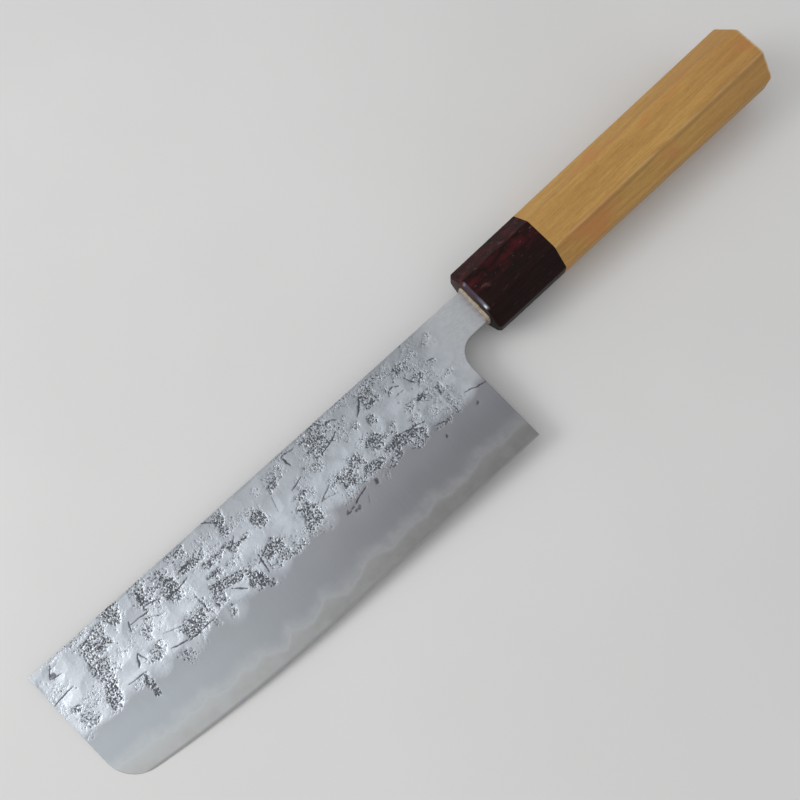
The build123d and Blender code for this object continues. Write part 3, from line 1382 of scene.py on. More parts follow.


# ---- The blade ----

# Patches of the photographed face: reach, depth, half sizes, turn, strength
RIGHT_PATCHES = (
    (32.5, 5.4, 2.6, 1.8, 0, 0.8), (20, 4.6, 2.4, 1.6, 20, 0.42), (22.8, 10.6, 2.2, 0.8, 0, 0.4),
    (29.2, 11.4, 2.2, 1.4, 30, 0.7), (33, 16.9, 1.9, 0.8, -5), (37.2, 16.6, 2.3, 1.8, 0, 0.55),
    (22, 16.8, 2.6, 0.9, 0, 0.42), (27, 18.6, 1.3, 1.9, 0, 0.55), (27.2, 23.6, 1.3, 1.8, 0, 0.5),
    (45, 7.6, 3.6, 1.5, 0, 0.9), (43, 3, 4.2, 2, 10, 0.5), (48.9, 11.6, 1.3, 1.5, 0, 0.75),
    (52, 17.6, 3, 2.3, 15, 0.85), (43.5, 23.4, 5.5, 1.7, -6, 0.85), (48.6, 22.2, 3.6, 1.3),
    (42.2, 27, 2.6, 1.8, 20, 0.7), (33, 28, 2.6, 0.8, -10, 0.6), (57.5, 23.2, 3.6, 1.3, -8, 0.9),
    (61.5, 18.8, 2.6, 1.8, 0, 0.7), (55.5, 14.8, 2.4, 1.6, 0, 0.4), (57.5, 10.4, 2.4, 1.7, 0, 0.4),
    (67.6, 7, 3.8, 2, 10, 0.65), (68.5, 2.6, 2.4, 1.8, 0, 0.75), (71, 11.2, 1.8, 1.6, 0, 0.5),
    (66, 20, 4.2, 2.6, 0, 0.75), (62.2, 23.8, 2.2, 1.5, 0, 0.5), (85.6, 6.2, 2.4, 1.6, 0, 0.75),
    (80, 14.6, 2.6, 0.8, 0, 0.75), (82.9, 22, 2.9, 4.2, -10, 0.85),
    (70.2, 27.6, 2.8, 1.2, 0, 0.35), (92, 26, 3.2, 1.1, 0, 0.75), (95, 11, 2, 2.6, 15, 0.9),
    (97.5, 21.2, 3.4, 2.2, -12, 0.9), (95.5, 24.6, 4, 1.6, 0, 0.6), (103, 12.4, 2.3, 0.7, 0, 0.9),
    (105.2, 4.4, 1.6, 2.6, 0, 0.9), (107, 12.2, 1.6, 1.8, 0, 0.6), (97.5, 7.4, 3.6, 1.7, 0, 0.4),
    (113.2, 11.2, 3.6, 1.2, 0, 0.8), (116.2, 14.8, 2.2, 0.9), (113, 19.4, 4.6, 1.6, -4, 0.9),
    (117, 18, 2, 2.6, 20, 0.9), (107, 25.2, 2.1, 3.6, 12, 0.95), (118.4, 7, 2.6, 1.6, 0, 0.65),
    (122.2, 7.4, 2.8, 1.2, 0, 0.85), (118.9, 26.6, 1.1, 1.9, 0, 0.6), (119, 22, 2.4, 2.2, 0, 0.7),
    (104.5, 28.6, 1.2, 1.2, 0, 0.8), (129.4, 8.6, 3.6, 3.4, 0, 0.95),
    (137.2, 4.4, 1.9, 3.4, 0, 0.95), (133.4, 5.4, 3.2, 1.9, 0, 0.6), (148, 3, 2.3, 2.6, 0, 0.75),
    (155.6, 7.2, 3.4, 2.2, 0, 0.75), (151.5, 3.2, 1.8, 1.3, 0, 0.4), (160, 4.6, 2.2, 1.3, 0, 0.6),
    (160.6, 9.6, 1.8, 4, -8, 0.7), (161.2, 20.6, 2, 4, -14, 0.85),
    (158.4, 13.4, 2.6, 2.6, 0, 0.55), (129, 22.3, 4.4, 2.4, 0, 0.9),
    (142.6, 13.4, 3.4, 2.6, 0, 0.55), (144.4, 20.8, 2.6, 1.8, 0, 0.6),
    (151.2, 28.4, 1, 3.2, 0, 0.85), (137, 28.8, 2.1, 2.7, 0, 0.5), (153.4, 24, 3, 1.3, 0, 0.4),
    (172, 22.4, 2.6, 2.6, 0, 0.55), (173, 17.4, 1.6, 1.1, 0, 0.6), (124.6, 26.4, 1.1, 2, 0, 0.5),
    (173.5, 8.4, 2.6, 1.7, 0, 0.35), (126.5, 15.4, 2.2, 1.6, 0, 0.3),
    (161, 15.6, 1.6, 2.4, 0, 0.55), (90.5, 5, 2.2, 1.6, 0, 0.35), (110.5, 16, 2.4, 1.8, 0, 0.45),
    (122, 2.4, 4.4, 1.7, 0, 0.55), (141, 6, 1.6, 1.2, 0, 0.3), (52, 26, 3.6, 1.6, 20, 0.7),
    (129.5, 3.6, 3.4, 1.6, 0, 0.5), (147.6, 2.2, 2.6, 2.6, 0, 0.7), (155, 4.6, 3.4, 2.4, 0, 0.6),
    (36.5, 3.4, 4.2, 1.8, 0, 0.45), (45.5, 5, 4, 3.2, 0, 0.6), (57, 6, 3.6, 2, 0, 0.4),
    (63, 2.6, 3, 2, 0, 0.7), (112, 4.6, 3, 2.4, 0, 0.4), (83, 4.4, 3.6, 2, 0, 0.45),
    (26.2, 4.6, 1.6, 1.2, 0, 0.45), (46.8, 18.4, 1.8, 1.8, 0, 0.5), (27.6, 27, 1, 2, 0, 0.5),
    (38.8, 20.4, 1.8, 1, 0, 0.5), (54, 9.6, 1.4, 1.4, 0, 0.45), (24.6, 21, 1.6, 1.6, 0, 0.35),
)
# Straight marks of that face: from reach and depth to reach and depth, width, sink
# The rows from (171.6, 5.1) and from (149.7, 18.6) are shallow dents whose dark colour is painted
# shade, filling wedges beside other marks.
RIGHT_CUTS = (
    (13.2, 27.4, 22.2, 25, 0.4), (31.2, 12.4, 32.8, 8.6, 0.45, 0.11),
    (35.4, 9.6, 37, 8.5, 0.35, 0.1), (37, 8.5, 39.2, 8.5, 0.35, 0.1), (39.2, 8.5, 40, 10.2, 0.35),
    (35.4, 11.6, 38.9, 11.5, 0.3, 0.07), (47.2, 3.6, 51.6, 8.2, 0.55, 0.13),
    (47.2, 3.6, 45.4, 5.4, 0.4, 0.08), (57, 4.4, 58.6, 3, 0.4, 0.08),
    (58.6, 3, 60.8, 3, 0.4, 0.08), (60.8, 3, 62.6, 5.2, 0.4, 0.08),
    (59.6, 6.8, 67.2, 9.4, 0.45, 0.1), (37, 23.2, 45.2, 21.4, 0.4, 0.1),
    (45.2, 21.4, 50.4, 22, 0.45, 0.12), (50.4, 11, 50.4, 13.4, 0.35, 0.06),
    (65.8, 0.6, 66.2, 4.4, 0.4, 0.06), (72.6, 1.8, 77.8, 1.2, 0.5, 0.06), (77.8, 1.2, 77.2, 5.4),
    (76.8, 10.2, 82.2, 11.6, 0.4, 0.08), (72.2, 17.8, 77.2, 20.4, 0.4, 0.08),
    (77.2, 20.4, 71, 21.6, 0.4, 0.04), (85, 6.4, 87.2, 1.2, 0.35, 0.06),
    (88, 8.6, 89.2, 13.6, 0.35, 0.05), (63.6, 25.9, 73.6, 28.9, 0.45, 0.1),
    (68.8, 29.2, 71.4, 29.4, 1.1, 0.06), (69.3, 30.1, 70.4, 29.9, 0.9, 0.06),
    (72.7, 27.7, 74.1, 28.9, 0.9, 0.06), (59.8, 26.3, 61.5, 27.5, 1.2, 0.065),
    (65.1, 28.1, 66.7, 31, 0.35, 0.04), (105.2, 3.6, 109.6, -0.2, 0.4, 0.11),
    (104.4, 9.6, 107.6, 12.6, 0.4, 0.08), (102.4, 19.2, 102.9, 25.6, 0.45, 0.1),
    (111, 25, 115, 21.4, 0.45, 0.12), (120, 6.6, 124.4, 6.8, 0.45, 0.12),
    (123, 9.8, 132, 10.8, 0.45, 0.12), (113.6, 5, 115.6, 8.4, 0.35, 0.05),
    (138.4, 9.3, 145.6, 9, 0.45, 0.12), (145.2, 7.8, 146.2, 10.8, 0.4),
    (133.6, 19.6, 139.4, 17.6, 0.35, 0.06), (135.6, 13.2, 142.4, 9.8, 0.35, 0.06),
    (125, 24.9, 134.4, 24.7, 0.45, 0.12), (134.2, 24.3, 140.4, 22.9, 0.45, 0.12),
    (124.6, 15, 124.6, 20.6, 0.4, 0.06), (148.8, 16.8, 151, 20.4, 0.45, 0.12),
    (148.8, 16.8, 147.8, 20.2, 0.35, 0.08), (150, 22.9, 156.6, 22, 0.4, 0.08),
    (151.4, 22.8, 151.6, 26, 0.35, 0.08), (170, 5.8, 174.2, 5, 0.4, 0.08), (171.6, 1.4, 174.2, 5),
    (169.4, 11.1, 177.6, 11.9, 0.45, 0.08), (161.6, 12.4, 163.6, 13.4, 0.5, 0.12),
    (104, 21.8, 100, 19.6, 0.4, 0.08), (138, 1.6, 139, 8.8, 0.45, 0.1),
    (34.9, 30.9, 35.8, 31.8, 0.9, 0.1), (20.6, 29.9, 22.2, 30.5, 0.9, 0.07),
    (104, 29.1, 104.7, 29.5, 0.7, 0.12), (150.4, 27.4, 152, 27.6, 0.3),
    (150.4, 29, 152, 29.2, 0.3), (31.4, 16.9, 34.8, 17, 0.6, 0.1),
    (171.6, 5.1, 173.9, 4.2, 1.7, 0.06), (149.7, 18.6, 150.9, 20.2, 0.7, 0.03),
    (21.6, 10.6, 24, 9.8, 0.4, 0.08), (27.8, 11, 31, 13.6, 0.45),
    (31.4, 19.6, 33, 18.2, 0.4, 0.06), (26.7, 17.2, 27.8, 20.2, 0.4, 0.08),
    (31, 28.4, 36.2, 26.4, 0.4, 0.07), (133.8, 8.8, 138.6, 7.2, 0.4),
)
# Height of the photographed face's cladding line above the edge, by reach
RIGHT_LINE = (
    (0, 6.2), (20, 6), (25, 5.8), (30, 7), (35, 6), (40, 5.4), (46, 5.6), (50, 6.2), (56, 5.7),
    (61, 6.4), (66, 5.6), (70, 5), (75, 6.8), (79, 7.2), (83, 5.6), (87, 4.6), (90, 4.2),
    (93, 6.2), (95.5, 8.3), (98, 6.5), (101, 5.2), (106, 4.8), (109, 7.2), (111, 5.4), (114, 3.8),
    (117, 4.8), (120, 6.8), (124, 5.6), (128, 7.4), (132, 6), (136, 5.6), (141, 7.6), (145, 6.6),
    (149, 7.2), (154, 6), (159, 6.8), (165, 6.4), (190, 7),
)


@dataclass(frozen=True)
class HiddenFace:
    """Random marks for the face that lies down, of the same kinds as the other face's."""

    seed: int = 505
    patch_count: int = 74
    cut_count: int = 46
    patch_spans: tuple[tuple[float, float], ...] = (
        (24, 176), (1, 27), (1.4, 4.4), (0.9, 3.0), (-30, 30), (0.35, 1.0),
    )
    cut_reach: tuple[float, float] = (20, 172)
    cut_depth: tuple[float, float] = (1, 27)
    cut_turn: float = 35
    cut_length: tuple[float, float] = (1.5, 8)
    cut_width: tuple[float, float] = (0.3, 0.5)
    cut_sink: tuple[float, float] = (0.05, 0.12)
    line_height: tuple[float, float] = (4.4, 7.8)
    line_step: float = 4.2

    def marks(self) -> tuple[list[Patch], list[Cut], list[tuple[float, float]]]:
        """Draws the marks.

        Returns:
            The patches, the straight marks, and the line's height above the edge by reach.
        """
        rng = np.random.default_rng(self.seed)
        patches = [
            Patch(*(rng.uniform(*span) for span in self.patch_spans))
            for _ in range(self.patch_count)
        ]
        cuts = []
        for _ in range(self.cut_count):
            reach, depth = rng.uniform(*self.cut_reach), rng.uniform(*self.cut_depth)
            turn, length = radians(rng.normal(0, self.cut_turn)), rng.uniform(*self.cut_length)
            ends = reach + length * cos(turn), depth + length * sin(turn)
            width, sink = rng.uniform(*self.cut_width), rng.uniform(*self.cut_sink)
            cuts.append(Cut(reach, depth, *ends, width, sink))
        reaches = np.arange(0, LINE_END + 1, self.line_step)
        return patches, cuts, [(reach, rng.uniform(*self.line_height)) for reach in reaches]


@dataclass(frozen=True)
class Grid:
    """How the blade is divided: columns along it, and rows from the spine to the edge."""

    outline: BladeOutline
    step: float = 0.25
    heel_run: float = 25.0
    tip_run: float = 40.0
    near_rim: tuple[float, ...] = (0.0, 0.04, 0.1, 0.18)
    heel_samples: int = 400

    def columns(self) -> Array:
        """Places the columns at the spine, closer together by the ends.

        Returns:
            The reach of each.
        """
        start, end = float(self.outline.heel_side(0.0)), self.outline.tip
        inner = np.arange(start + self.step, end - self.step / 2, self.step)
        rim = np.array(self.near_rim)
        return np.concatenate([start + rim, inner, (end - rim)[::-1]])

    def body(self, rows: Sequence[Row]) -> tuple[Array, Array]:
        """Returns reach and depth over the blade beyond the neck.

        Args:
            rows: For each row, how deep it lies at given reaches.

        Returns:
            Two grids, with a row for each function and a column for each of the columns.
        """
        columns, tip_side = self.columns(), self.outline.tip_side()
        heel_depth = np.linspace(0, self.outline.heel_height, self.heel_samples)
        heel_reach = self.outline.heel_side(heel_depth)
        from_heel = np.clip(1 - (columns - columns[0]) / self.heel_run, 0, 1)
        from_tip = np.clip((columns - columns[-1]) / self.tip_run + 1, 0, 1)
        reach, depth = [], []
        for row in rows:
            start = np.interp(0, heel_depth - row(heel_reach), heel_reach)
            end = np.interp(0, tip_side[:, 1] - row(tip_side[:, 0]), tip_side[:, 0])
            places = columns + (start - columns[0]) * from_heel + (end - columns[-1]) * from_tip
            reach.append(places)
            depth.append(row(places))
        return np.array(reach), np.array(depth)

    def neck(self, depths: Array) -> tuple[Array, Array]:
        """Returns reach and depth over the neck, ruled from the spine to its lower line.

        Args:
            depths: How deep each row lies where the neck meets the heel's line.

        Returns:
            Two grids, whose last column is the heel's line.
        """
        low = self.outline.neck_side()
        steps = np.hypot(*np.diff(low, axis=0).T)
        along = np.concatenate([[0], np.cumsum(steps)]) / steps.sum()
        seat = self.outline.neck_seat
        top = -seat + (self.outline.heel_side(0.0) + seat) * along
        share = (depths / depths[-1])[:, None]
        return top + (low[:, 0] - top) * share, low[:, 1] * share


@dataclass
class Blade:
    """The laminated blade: a hard core between two softer claddings."""

    place: BladePlace = BladePlace()
    outline: BladeOutline = BladeOutline()
    section: BladeSection = BladeSection()
    right_seed: int = 101
    left_seed: int = 303
    ease: float = 0.2
    ease_drop: float = 0.7
    rim_slant: float = 0.8
    least_step: float = 0.02
    feather: float = 0.004
    thinnest_edge: float = 0.03
    coarse_from: float = 28.0
    joint_from: float = 26.0
    ground_shares: tuple[float, ...] = (
        0.03, 0.06, 0.09, 0.12, 0.155, 0.19, 0.225, 0.27, 0.50, 0.76, 1.0,
    )
    hidden_depths: tuple[float, ...] = (0.0, 7.0, 14.0)
    above_line: tuple[float, ...] = (6.0, 3.0, 1.2, 0.4, 0.0)
    band_shares: tuple[float, ...] = (
        0.012, 0.08, 0.17, 0.27, 0.38, 0.5, 0.62, 0.74, 0.86, 0.94, 1.0,
    )
    above_edge: tuple[float, ...] = (0.5, 0.38, 0.25, 0.12, 0.05, 0.0)

    def faces(self) -> dict[Face, ForgedFace]:
        """Makes the photographed face and the one that lies down.

        Returns:
            The blade's two faces.
        """
        patches, cuts = [Patch(*row) for row in RIGHT_PATCHES], [Cut(*row) for row in RIGHT_CUTS]
        return {
            Face.RIGHT: ForgedFace(self.section, self.right_seed, patches, cuts, RIGHT_LINE),
            Face.LEFT: ForgedFace(self.section, self.left_seed, *HiddenFace().marks()),
        }

    def neck_depths(self, grid: Grid) -> tuple[Array, int]:
        """Returns the depths of the level rows.

        Args:
            grid: How the blade is divided.

        Returns:
            The depths, and which of them meets the neck's end.
        """
        rim = np.array(grid.near_rim)
        depths = np.concatenate([rim, np.arange(grid.step, self.coarse_from, grid.step)])
        meeting = float(self.outline.neck_side()[-1, 1])
        depths[np.argmin(np.abs(depths - meeting))] = meeting
        depths = np.sort(np.concatenate([depths, meeting - rim[1:], meeting + rim[1:]]))
        depths = depths[np.insert(np.diff(depths) > self.least_step, 0, True)]
        return depths, int(np.argmin(np.abs(depths - meeting)))

    def rounding(self, gap: Array) -> Array:
        """Returns how far a rim is lowered at this distance from it."""
        inside = np.clip(1 - gap / self.ease, 0, 1)
        return self.ease * self.ease_drop * (1 - np.sqrt(1 - inside**2 * 0.999))

    def joint(self, reach: Array, depth: Array, line: Array) -> Array:
        """Returns where the core and a cladding meet, which rises to the face at the line.

        Args:
            reach: Distances from the ferrule.
            depth: Distances below the spine.
            line: How deep the cladding's line lies at these reaches.

        Returns:
            Heights over the blade's middle.
        """
        near = eased((depth - self.joint_from) / (line - self.joint_from))
        at_line = self.section.ground_half(reach, line)
        return self.section.core_half + (at_line - self.section.core_half) * near

    def cladding(self, face: Face, finish: ForgedFace, name: str) -> bpy.types.Object:
        """Builds one cladding.

        Args:
            face: Which face of the blade it makes.
            finish: The marks of that face.
            name: The piece's name.

        Returns:
            The piece.
        """
        grid = Grid(self.outline)
        shell = Shell(self.place, ("forged", "dark", "above_line", "pitted"))
        depths, meeting = self.neck_depths(grid)
        start = level(float(depths[-1]))
        rows = [level(float(depth)) for depth in depths]
        rows += [between(start, finish.line_depth, share) for share in self.ground_shares]
        last = len(rows) - 1
        # The side that lies on the core is plain, so it keeps only some of the rows
        under = {0, *range(0, meeting, 16), meeting, *range(meeting + 10, last - 8, 14)}
        under = sorted(under | {last - 6, last - 3, last - 1, last})
        blocks = []
        for is_neck in (True, False):
            reach, depth = grid.neck(depths[: meeting + 1]) if is_neck else grid.body(rows)
            relief = finish.relief(reach, depth)
            bottom = self.joint(reach, depth, finish.line_depth(reach))
            bottom = np.minimum(bottom, relief.height - self.feather)
            if is_neck:
                rim = np.minimum(depth, (depth[-1] - depth) * self.rim_slant)
            else:
                over = self.rim_slant * np.maximum(depths[meeting] - depth, 0)
                free = np.hypot(reach - reach[:, :1], over)
                rim = np.minimum(np.minimum(depth, reach[:, -1:] - reach), free)
            top = np.maximum(relief.height - self.rounding(rim), bottom + self.feather)
            rows_under = [row for row in under if row < len(reach)]
            upper = shell.add(reach, depth, top * face.value, relief.marks)
            below = shell.add(
                reach[rows_under],
                depth[rows_under],
                bottom[rows_under] * face.value,
                relief.marks[rows_under],
            )
            shell.quads(upper)
            shell.quads(below)
            shell.row_wall(upper[0], below[0])
            blocks.append((upper, below, rows_under))
        (neck_top, neck_low, neck_under), (body_top, body_low, body_under) = blocks
        shell.row_wall(neck_top[-1], neck_low[-1])
        shell.column_wall(neck_top[:, 0], neck_low[:, 0], neck_under)
        shell.row_wall(body_top[-1], body_low[-1])
        shell.column_wall(body_top[:, -1], body_low[:, -1], body_under)
        heel = body_under.index(meeting)
        shell.column_wall(body_top[:, 0], body_low[heel:, 0], body_under[heel:])
        self.tang(shell, self.section.core_half * face.value, True)
        return shell.build(name)

    def tang(self, shell: Shell, height: float, outer: bool) -> None:
        """Adds one layer of the tang, from the neck's seat to its end inside the handle.

        Args:
            shell: The mesh that it joins.
            height: Where the layer's face nearer the other layers lies.
            outer: Whether it is a cladding, whose other face is the tang's own.
        """
        outline = self.outline
        reach = np.array([[-outline.neck_seat, -outline.tang_length]] * 2)
        depth = np.array([[outline.tang_top] * 2, [outline.tang_root, outline.tang_end]])
        half = self.section.forged_half(reach, depth)
        other = half * np.sign(height) if outer else np.full(reach.shape, -height)
        near = shell.add(reach, depth, np.full(reach.shape, height))
        far = shell.add(reach, depth, other)
        shell.quads(near)
        shell.quads(far)
        for row in (0, 1):
            shell.row_wall(near[row], far[row])
            shell.row_wall(near[:, row], far[:, row])

    def core(self, faces: dict[Face, ForgedFace], name: str) -> bpy.types.Object:
        """Builds the core, which shows between the claddings' lines and the cutting edge.

        Args:
            faces: The blade's two faces.
            name: The piece's name.

        Returns:
            The piece.
        """
        grid, shell = Grid(self.outline), Shell(self.place, ("from_edge", "under_line"))
        meeting = float(self.outline.neck_side()[-1, 1])
        edge = self.outline.edge_depth
        bevel = raised(edge, self.section.edge_bevel_width)
        hidden = [*self.hidden_depths, meeting]
        neck = grid.neck(np.array(hidden))
        first_seen = len(hidden) + 1 + len(self.above_line)
        rings = []
        for face, finish in faces.items():
            line = finish.line_depth
            rows = [level(depth) for depth in (*hidden, self.joint_from)]
            rows += [raised(line, gap) for gap in self.above_line]
            rows += [between(line, bevel, share) for share in self.band_shares]
            rows += [raised(edge, gap) for gap in self.above_edge]
            reach, depth = grid.body(rows)
            ground = self.section.ground_half(reach, depth)
            height = np.minimum(self.joint(reach, depth, line(reach)), ground - self.feather)
            seen = np.arange(len(rows))[:, None] >= first_seen
            from_heel = np.where(depth > meeting, reach - reach[:, :1], FAR)
            rim = np.minimum(reach[:, -1:] - reach, from_heel)
            eased_face = np.maximum(ground - self.rounding(rim), self.thinnest_edge)
            height = np.where(seen, eased_face, height)
            marks = np.stack([edge(reach) - depth, depth - line(reach)], -1)
            upper = shell.add(reach, depth, height * face.value, marks)
            collar = shell.add(*neck, np.full(neck[0].shape, self.section.core_half * face.value))
            shell.quads(upper)
            shell.quads(collar)
            rings.append((upper, collar))
        (top, top_neck), (low, low_neck) = rings
        for part in (np.s_[0], np.s_[-1], np.s_[:, -1], np.s_[len(hidden) - 1 :, 0]):
            shell.row_wall(top[part], low[part])
        for part in (np.s_[0], np.s_[-1], np.s_[:, 0]):
            shell.row_wall(top_neck[part], low_neck[part])
        self.tang(shell, self.section.core_half, False)
        return shell.build(name)

    def build(self) -> None:
        """Builds the three layers, dresses them and puts them in place of the CAD nodes."""
        faces, cladding = self.faces(), CladdingSteel().material()
        for face, name, node in (
            (Face.RIGHT, "right_cladding", "cladding_right"),
            (Face.LEFT, "left_cladding", "cladding_left"),
        ):
            put_in_place(self.cladding(face, faces[face], name), node, cladding)
        core = CoreSteel().material()
        put_in_place(self.core(faces, "core_layer"), "blade_core", core)


# ---- The handle ----


@dataclass(frozen=True)
class HandleShape:
    """The octagonal handle, which grows evenly from its mouth to its butt.

    Each section has half its width, half its thickness and half its diagonal width.
    """

    mouth_x: float = MOUTH_X
    joint_x: float = 57.489
    butt_x: float = BUTT_X
    axis_y: float = 15.68696
    axis_z: float = AXIS_Z
    mouth: Triple = (11.85, 8.65, 10.3238)
    butt: Triple = (12.4, 10.15, 11.1369)
    arris_radius: float = 1.6
    arris_steps: int = 5
    beside_arris: float = 0.15

    def ring(self, x: float, inset: float) -> Array:
        """Returns the section at one place.

        Args:
            x: The place along the handle.
            inset: How far its sides are moved in.

        Returns:
            Rows of x, y and z.
        """
        share = (x - self.mouth_x) / (self.butt_x - self.mouth_x)
        halves = np.array(self.mouth) * (1 - share) + np.array(self.butt) * share - inset
        wide, thick, across = halves - self.arris_radius
        sides = [wide, across, thick, across] * 2
        angles = np.arange(9) * pi / 4
        points = []
        for side in range(8):
            normals = spokes(angles[side : side + 2])
            middle = np.linalg.solve(normals, [sides[side], sides[(side + 1) % 8]])
            before, after = (
                middle + normal * self.arris_radius + turned(normal) * along * self.beside_arris
                for normal, along in zip(normals, (-1, 1))
            )
            turns = np.linspace(angles[side], angles[side + 1], self.arris_steps)
            points += [before, *(middle + spokes(turns) * self.arris_radius), after]
        y, z = np.transpose(points)
        return np.column_stack([np.full(len(points), x), y + self.axis_y, z + self.axis_z])

    def body(self, stations: Points) -> bpy.types.Mesh:
        """Returns a closed body through sections at these places, with these insets."""
        return tube("body", [self.ring(x, inset) * MM for x, inset in stations])


@dataclass(frozen=True)
class Hollow:
    """A straight-sided hollow in the handle, with its outline in the blade's own plane."""

    outline: Points
    half: float

    def mesh(self, place: BladePlace) -> bpy.types.Mesh:
        """Makes the hollow.

        Args:
            place: Where the blade's plane lies.

        Returns:
            A closed mesh.
        """
        reach, depth = np.transpose(self.outline)
        heights = (np.full(reach.shape, side * self.half) for side in (-1, 1))
        return tube("hollow", [place.points(reach, depth, height) for height in heights])


@dataclass(frozen=True)
class Bore:
    """A round bore along the handle's axis."""

    start_x: float
    end_x: float
    radius: float = 7.15
    sides: int = 96

    def mesh(self, shape: HandleShape) -> bpy.types.Mesh:
        """Makes the bore.

        Args:
            shape: The handle whose axis it follows.

        Returns:
            A closed mesh.
        """
        turns = np.linspace(0, 2 * pi, self.sides, endpoint=False)
        across = spokes(turns) * self.radius + [shape.axis_y, shape.axis_z]
        return tube("bore", [np.insert(across, 0, x, 1) * MM for x in (self.start_x, self.end_x)])


def hollowed(
    name: str, body: bpy.types.Mesh, hollows: Sequence[bpy.types.Mesh]
) -> bpy.types.Object:
    """Cuts hollows out of a body.

    Args:
        name: The piece's name.
        body: The closed body.
        hollows: The closed shapes that are cut out of it.

    Returns:
        The piece, in the scene.
    """
    blank = finished("blank", body)
    for hollow in hollows:
        tool = finished("tool", hollow)
        cut = blank.modifiers.new("cut", "BOOLEAN")
        cut.object, cut.operation, cut.solver = tool, "DIFFERENCE", "EXACT"
        graph = bpy.context.evaluated_depsgraph_get()
        mesh = bpy.data.meshes.new_from_object(blank.evaluated_get(graph))
        blank.modifiers.clear()
        blank.data = mesh
        bpy.data.objects.remove(tool)
    mesh = blank.data
    bpy.data.objects.remove(blank)
    mesh.materials.clear()
    return finished(name, mesh)


@dataclass
class MouthBead:
    """The resin squeezed out round the neck: a bead on the ferrule's face, and its tube."""

    place: BladePlace = BladePlace()
    section: BladeSection = BladeSection()
    over_spine: float = 0.85
    over_face: float = 2.1
    front: float = 0.5
    foot: float = 1.55
    behind: float = 0.1
    tube_gap: float = 0.55
    corner: float = 0.35
    around: int = 260
    seed: int = 707
    noise_radius: float = 7.0
    uneven_foot: float = 0.16
    uneven_spread: float = 0.15
    least_gap: float = 1e-9
    profile: Points = (
        (1.0, 0.0), (0.97, 0.05), (0.88, 0.11), (0.76, 0.16), (0.64, 0.18), (0.58, 0.20),
        (0.57, 0.28), (0.54, 0.42), (0.47, 0.58), (0.36, 0.74), (0.22, 0.88), (0.08, 0.97),
        (0.0, 1.0),
    )

    def ring(self, over_spine: Array, over_face: Array) -> Array:
        """Returns places round the neck.

        Args:
            over_spine: How far out they lie over the neck's narrow sides.
            over_face: How far out they lie over its wide sides.

        Returns:
            Rows of depth and height.
        """
        half = np.array([self.section.outline.neck_height, self.section.neck_thickness]) / 2
        along = np.arange(self.around) / self.around * 4 * half.sum()
        sides = np.cumsum([0, 2 * half[0], 2 * half[1], 2 * half[0], 2 * half[1]])
        corners = np.array([[-1, 1], [1, 1], [1, -1], [-1, -1], [-1, 1]]) * half
        places = np.stack([np.interp(along, sides, corners[:, axis]) for axis in (0, 1)], axis=-1)
        nearest = np.clip(places, self.corner - half, half - self.corner)
        out = places - nearest
        out = out / np.maximum(np.hypot(*out.T)[:, None], self.least_gap)
        spread = np.column_stack([self.corner + over_spine, self.corner + over_face])
        return nearest + out * spread + [half[0], 0.0]

    def build(self) -> None:
        """Builds the bead, dresses it and puts it in place of the CAD node."""
        shell, seat = Shell(self.place, ("rise",)), -self.section.outline.neck_seat
        turn = np.linspace(0, 2 * pi, self.around, endpoint=False)
        around = (spokes(turn) * self.noise_radius).T
        uneven = 1 + self.uneven_foot * SmoothNoise(self.seed, 1.3, 3)(*around)
        spread = 1 + self.uneven_spread * SmoothNoise(self.seed + 9, 1.8, 2)(*around)
        even = np.ones(self.around)
        stations = [(seat * even, 0 * even, 0 * even, 0.0)]
        for step, (far, out) in enumerate(self.profile):
            rise = step / (len(self.profile) - 1)
            reach, over = self.front + self.foot * far * uneven, out * spread
            stations.append((reach, self.over_spine * over, self.over_face * over, rise))
        back, inner = (self.front - self.behind) * even, self.tube_gap * even
        stations += [
            (back, self.over_spine * spread, self.over_face * spread, 1.0),
            (back, inner, inner, 1.0),
            (seat * even, inner, inner, 1.0),
        ]
        rings = []
        for reach, over_spine, over_face, rise in stations:
            depth, height = self.ring(over_spine, over_face).T
            rings.append(shell.add(reach, depth, height, np.full((self.around, 1), rise)))
        grid = np.array(rings)
        grid = np.concatenate([grid, grid[:, :1]], axis=1)
        shell.quads(np.concatenate([grid, grid[:1]]))
        bead = shell.build("mouth_bead")
        put_in_place(bead, "mouth_seal", SEAL_RESIN.material())


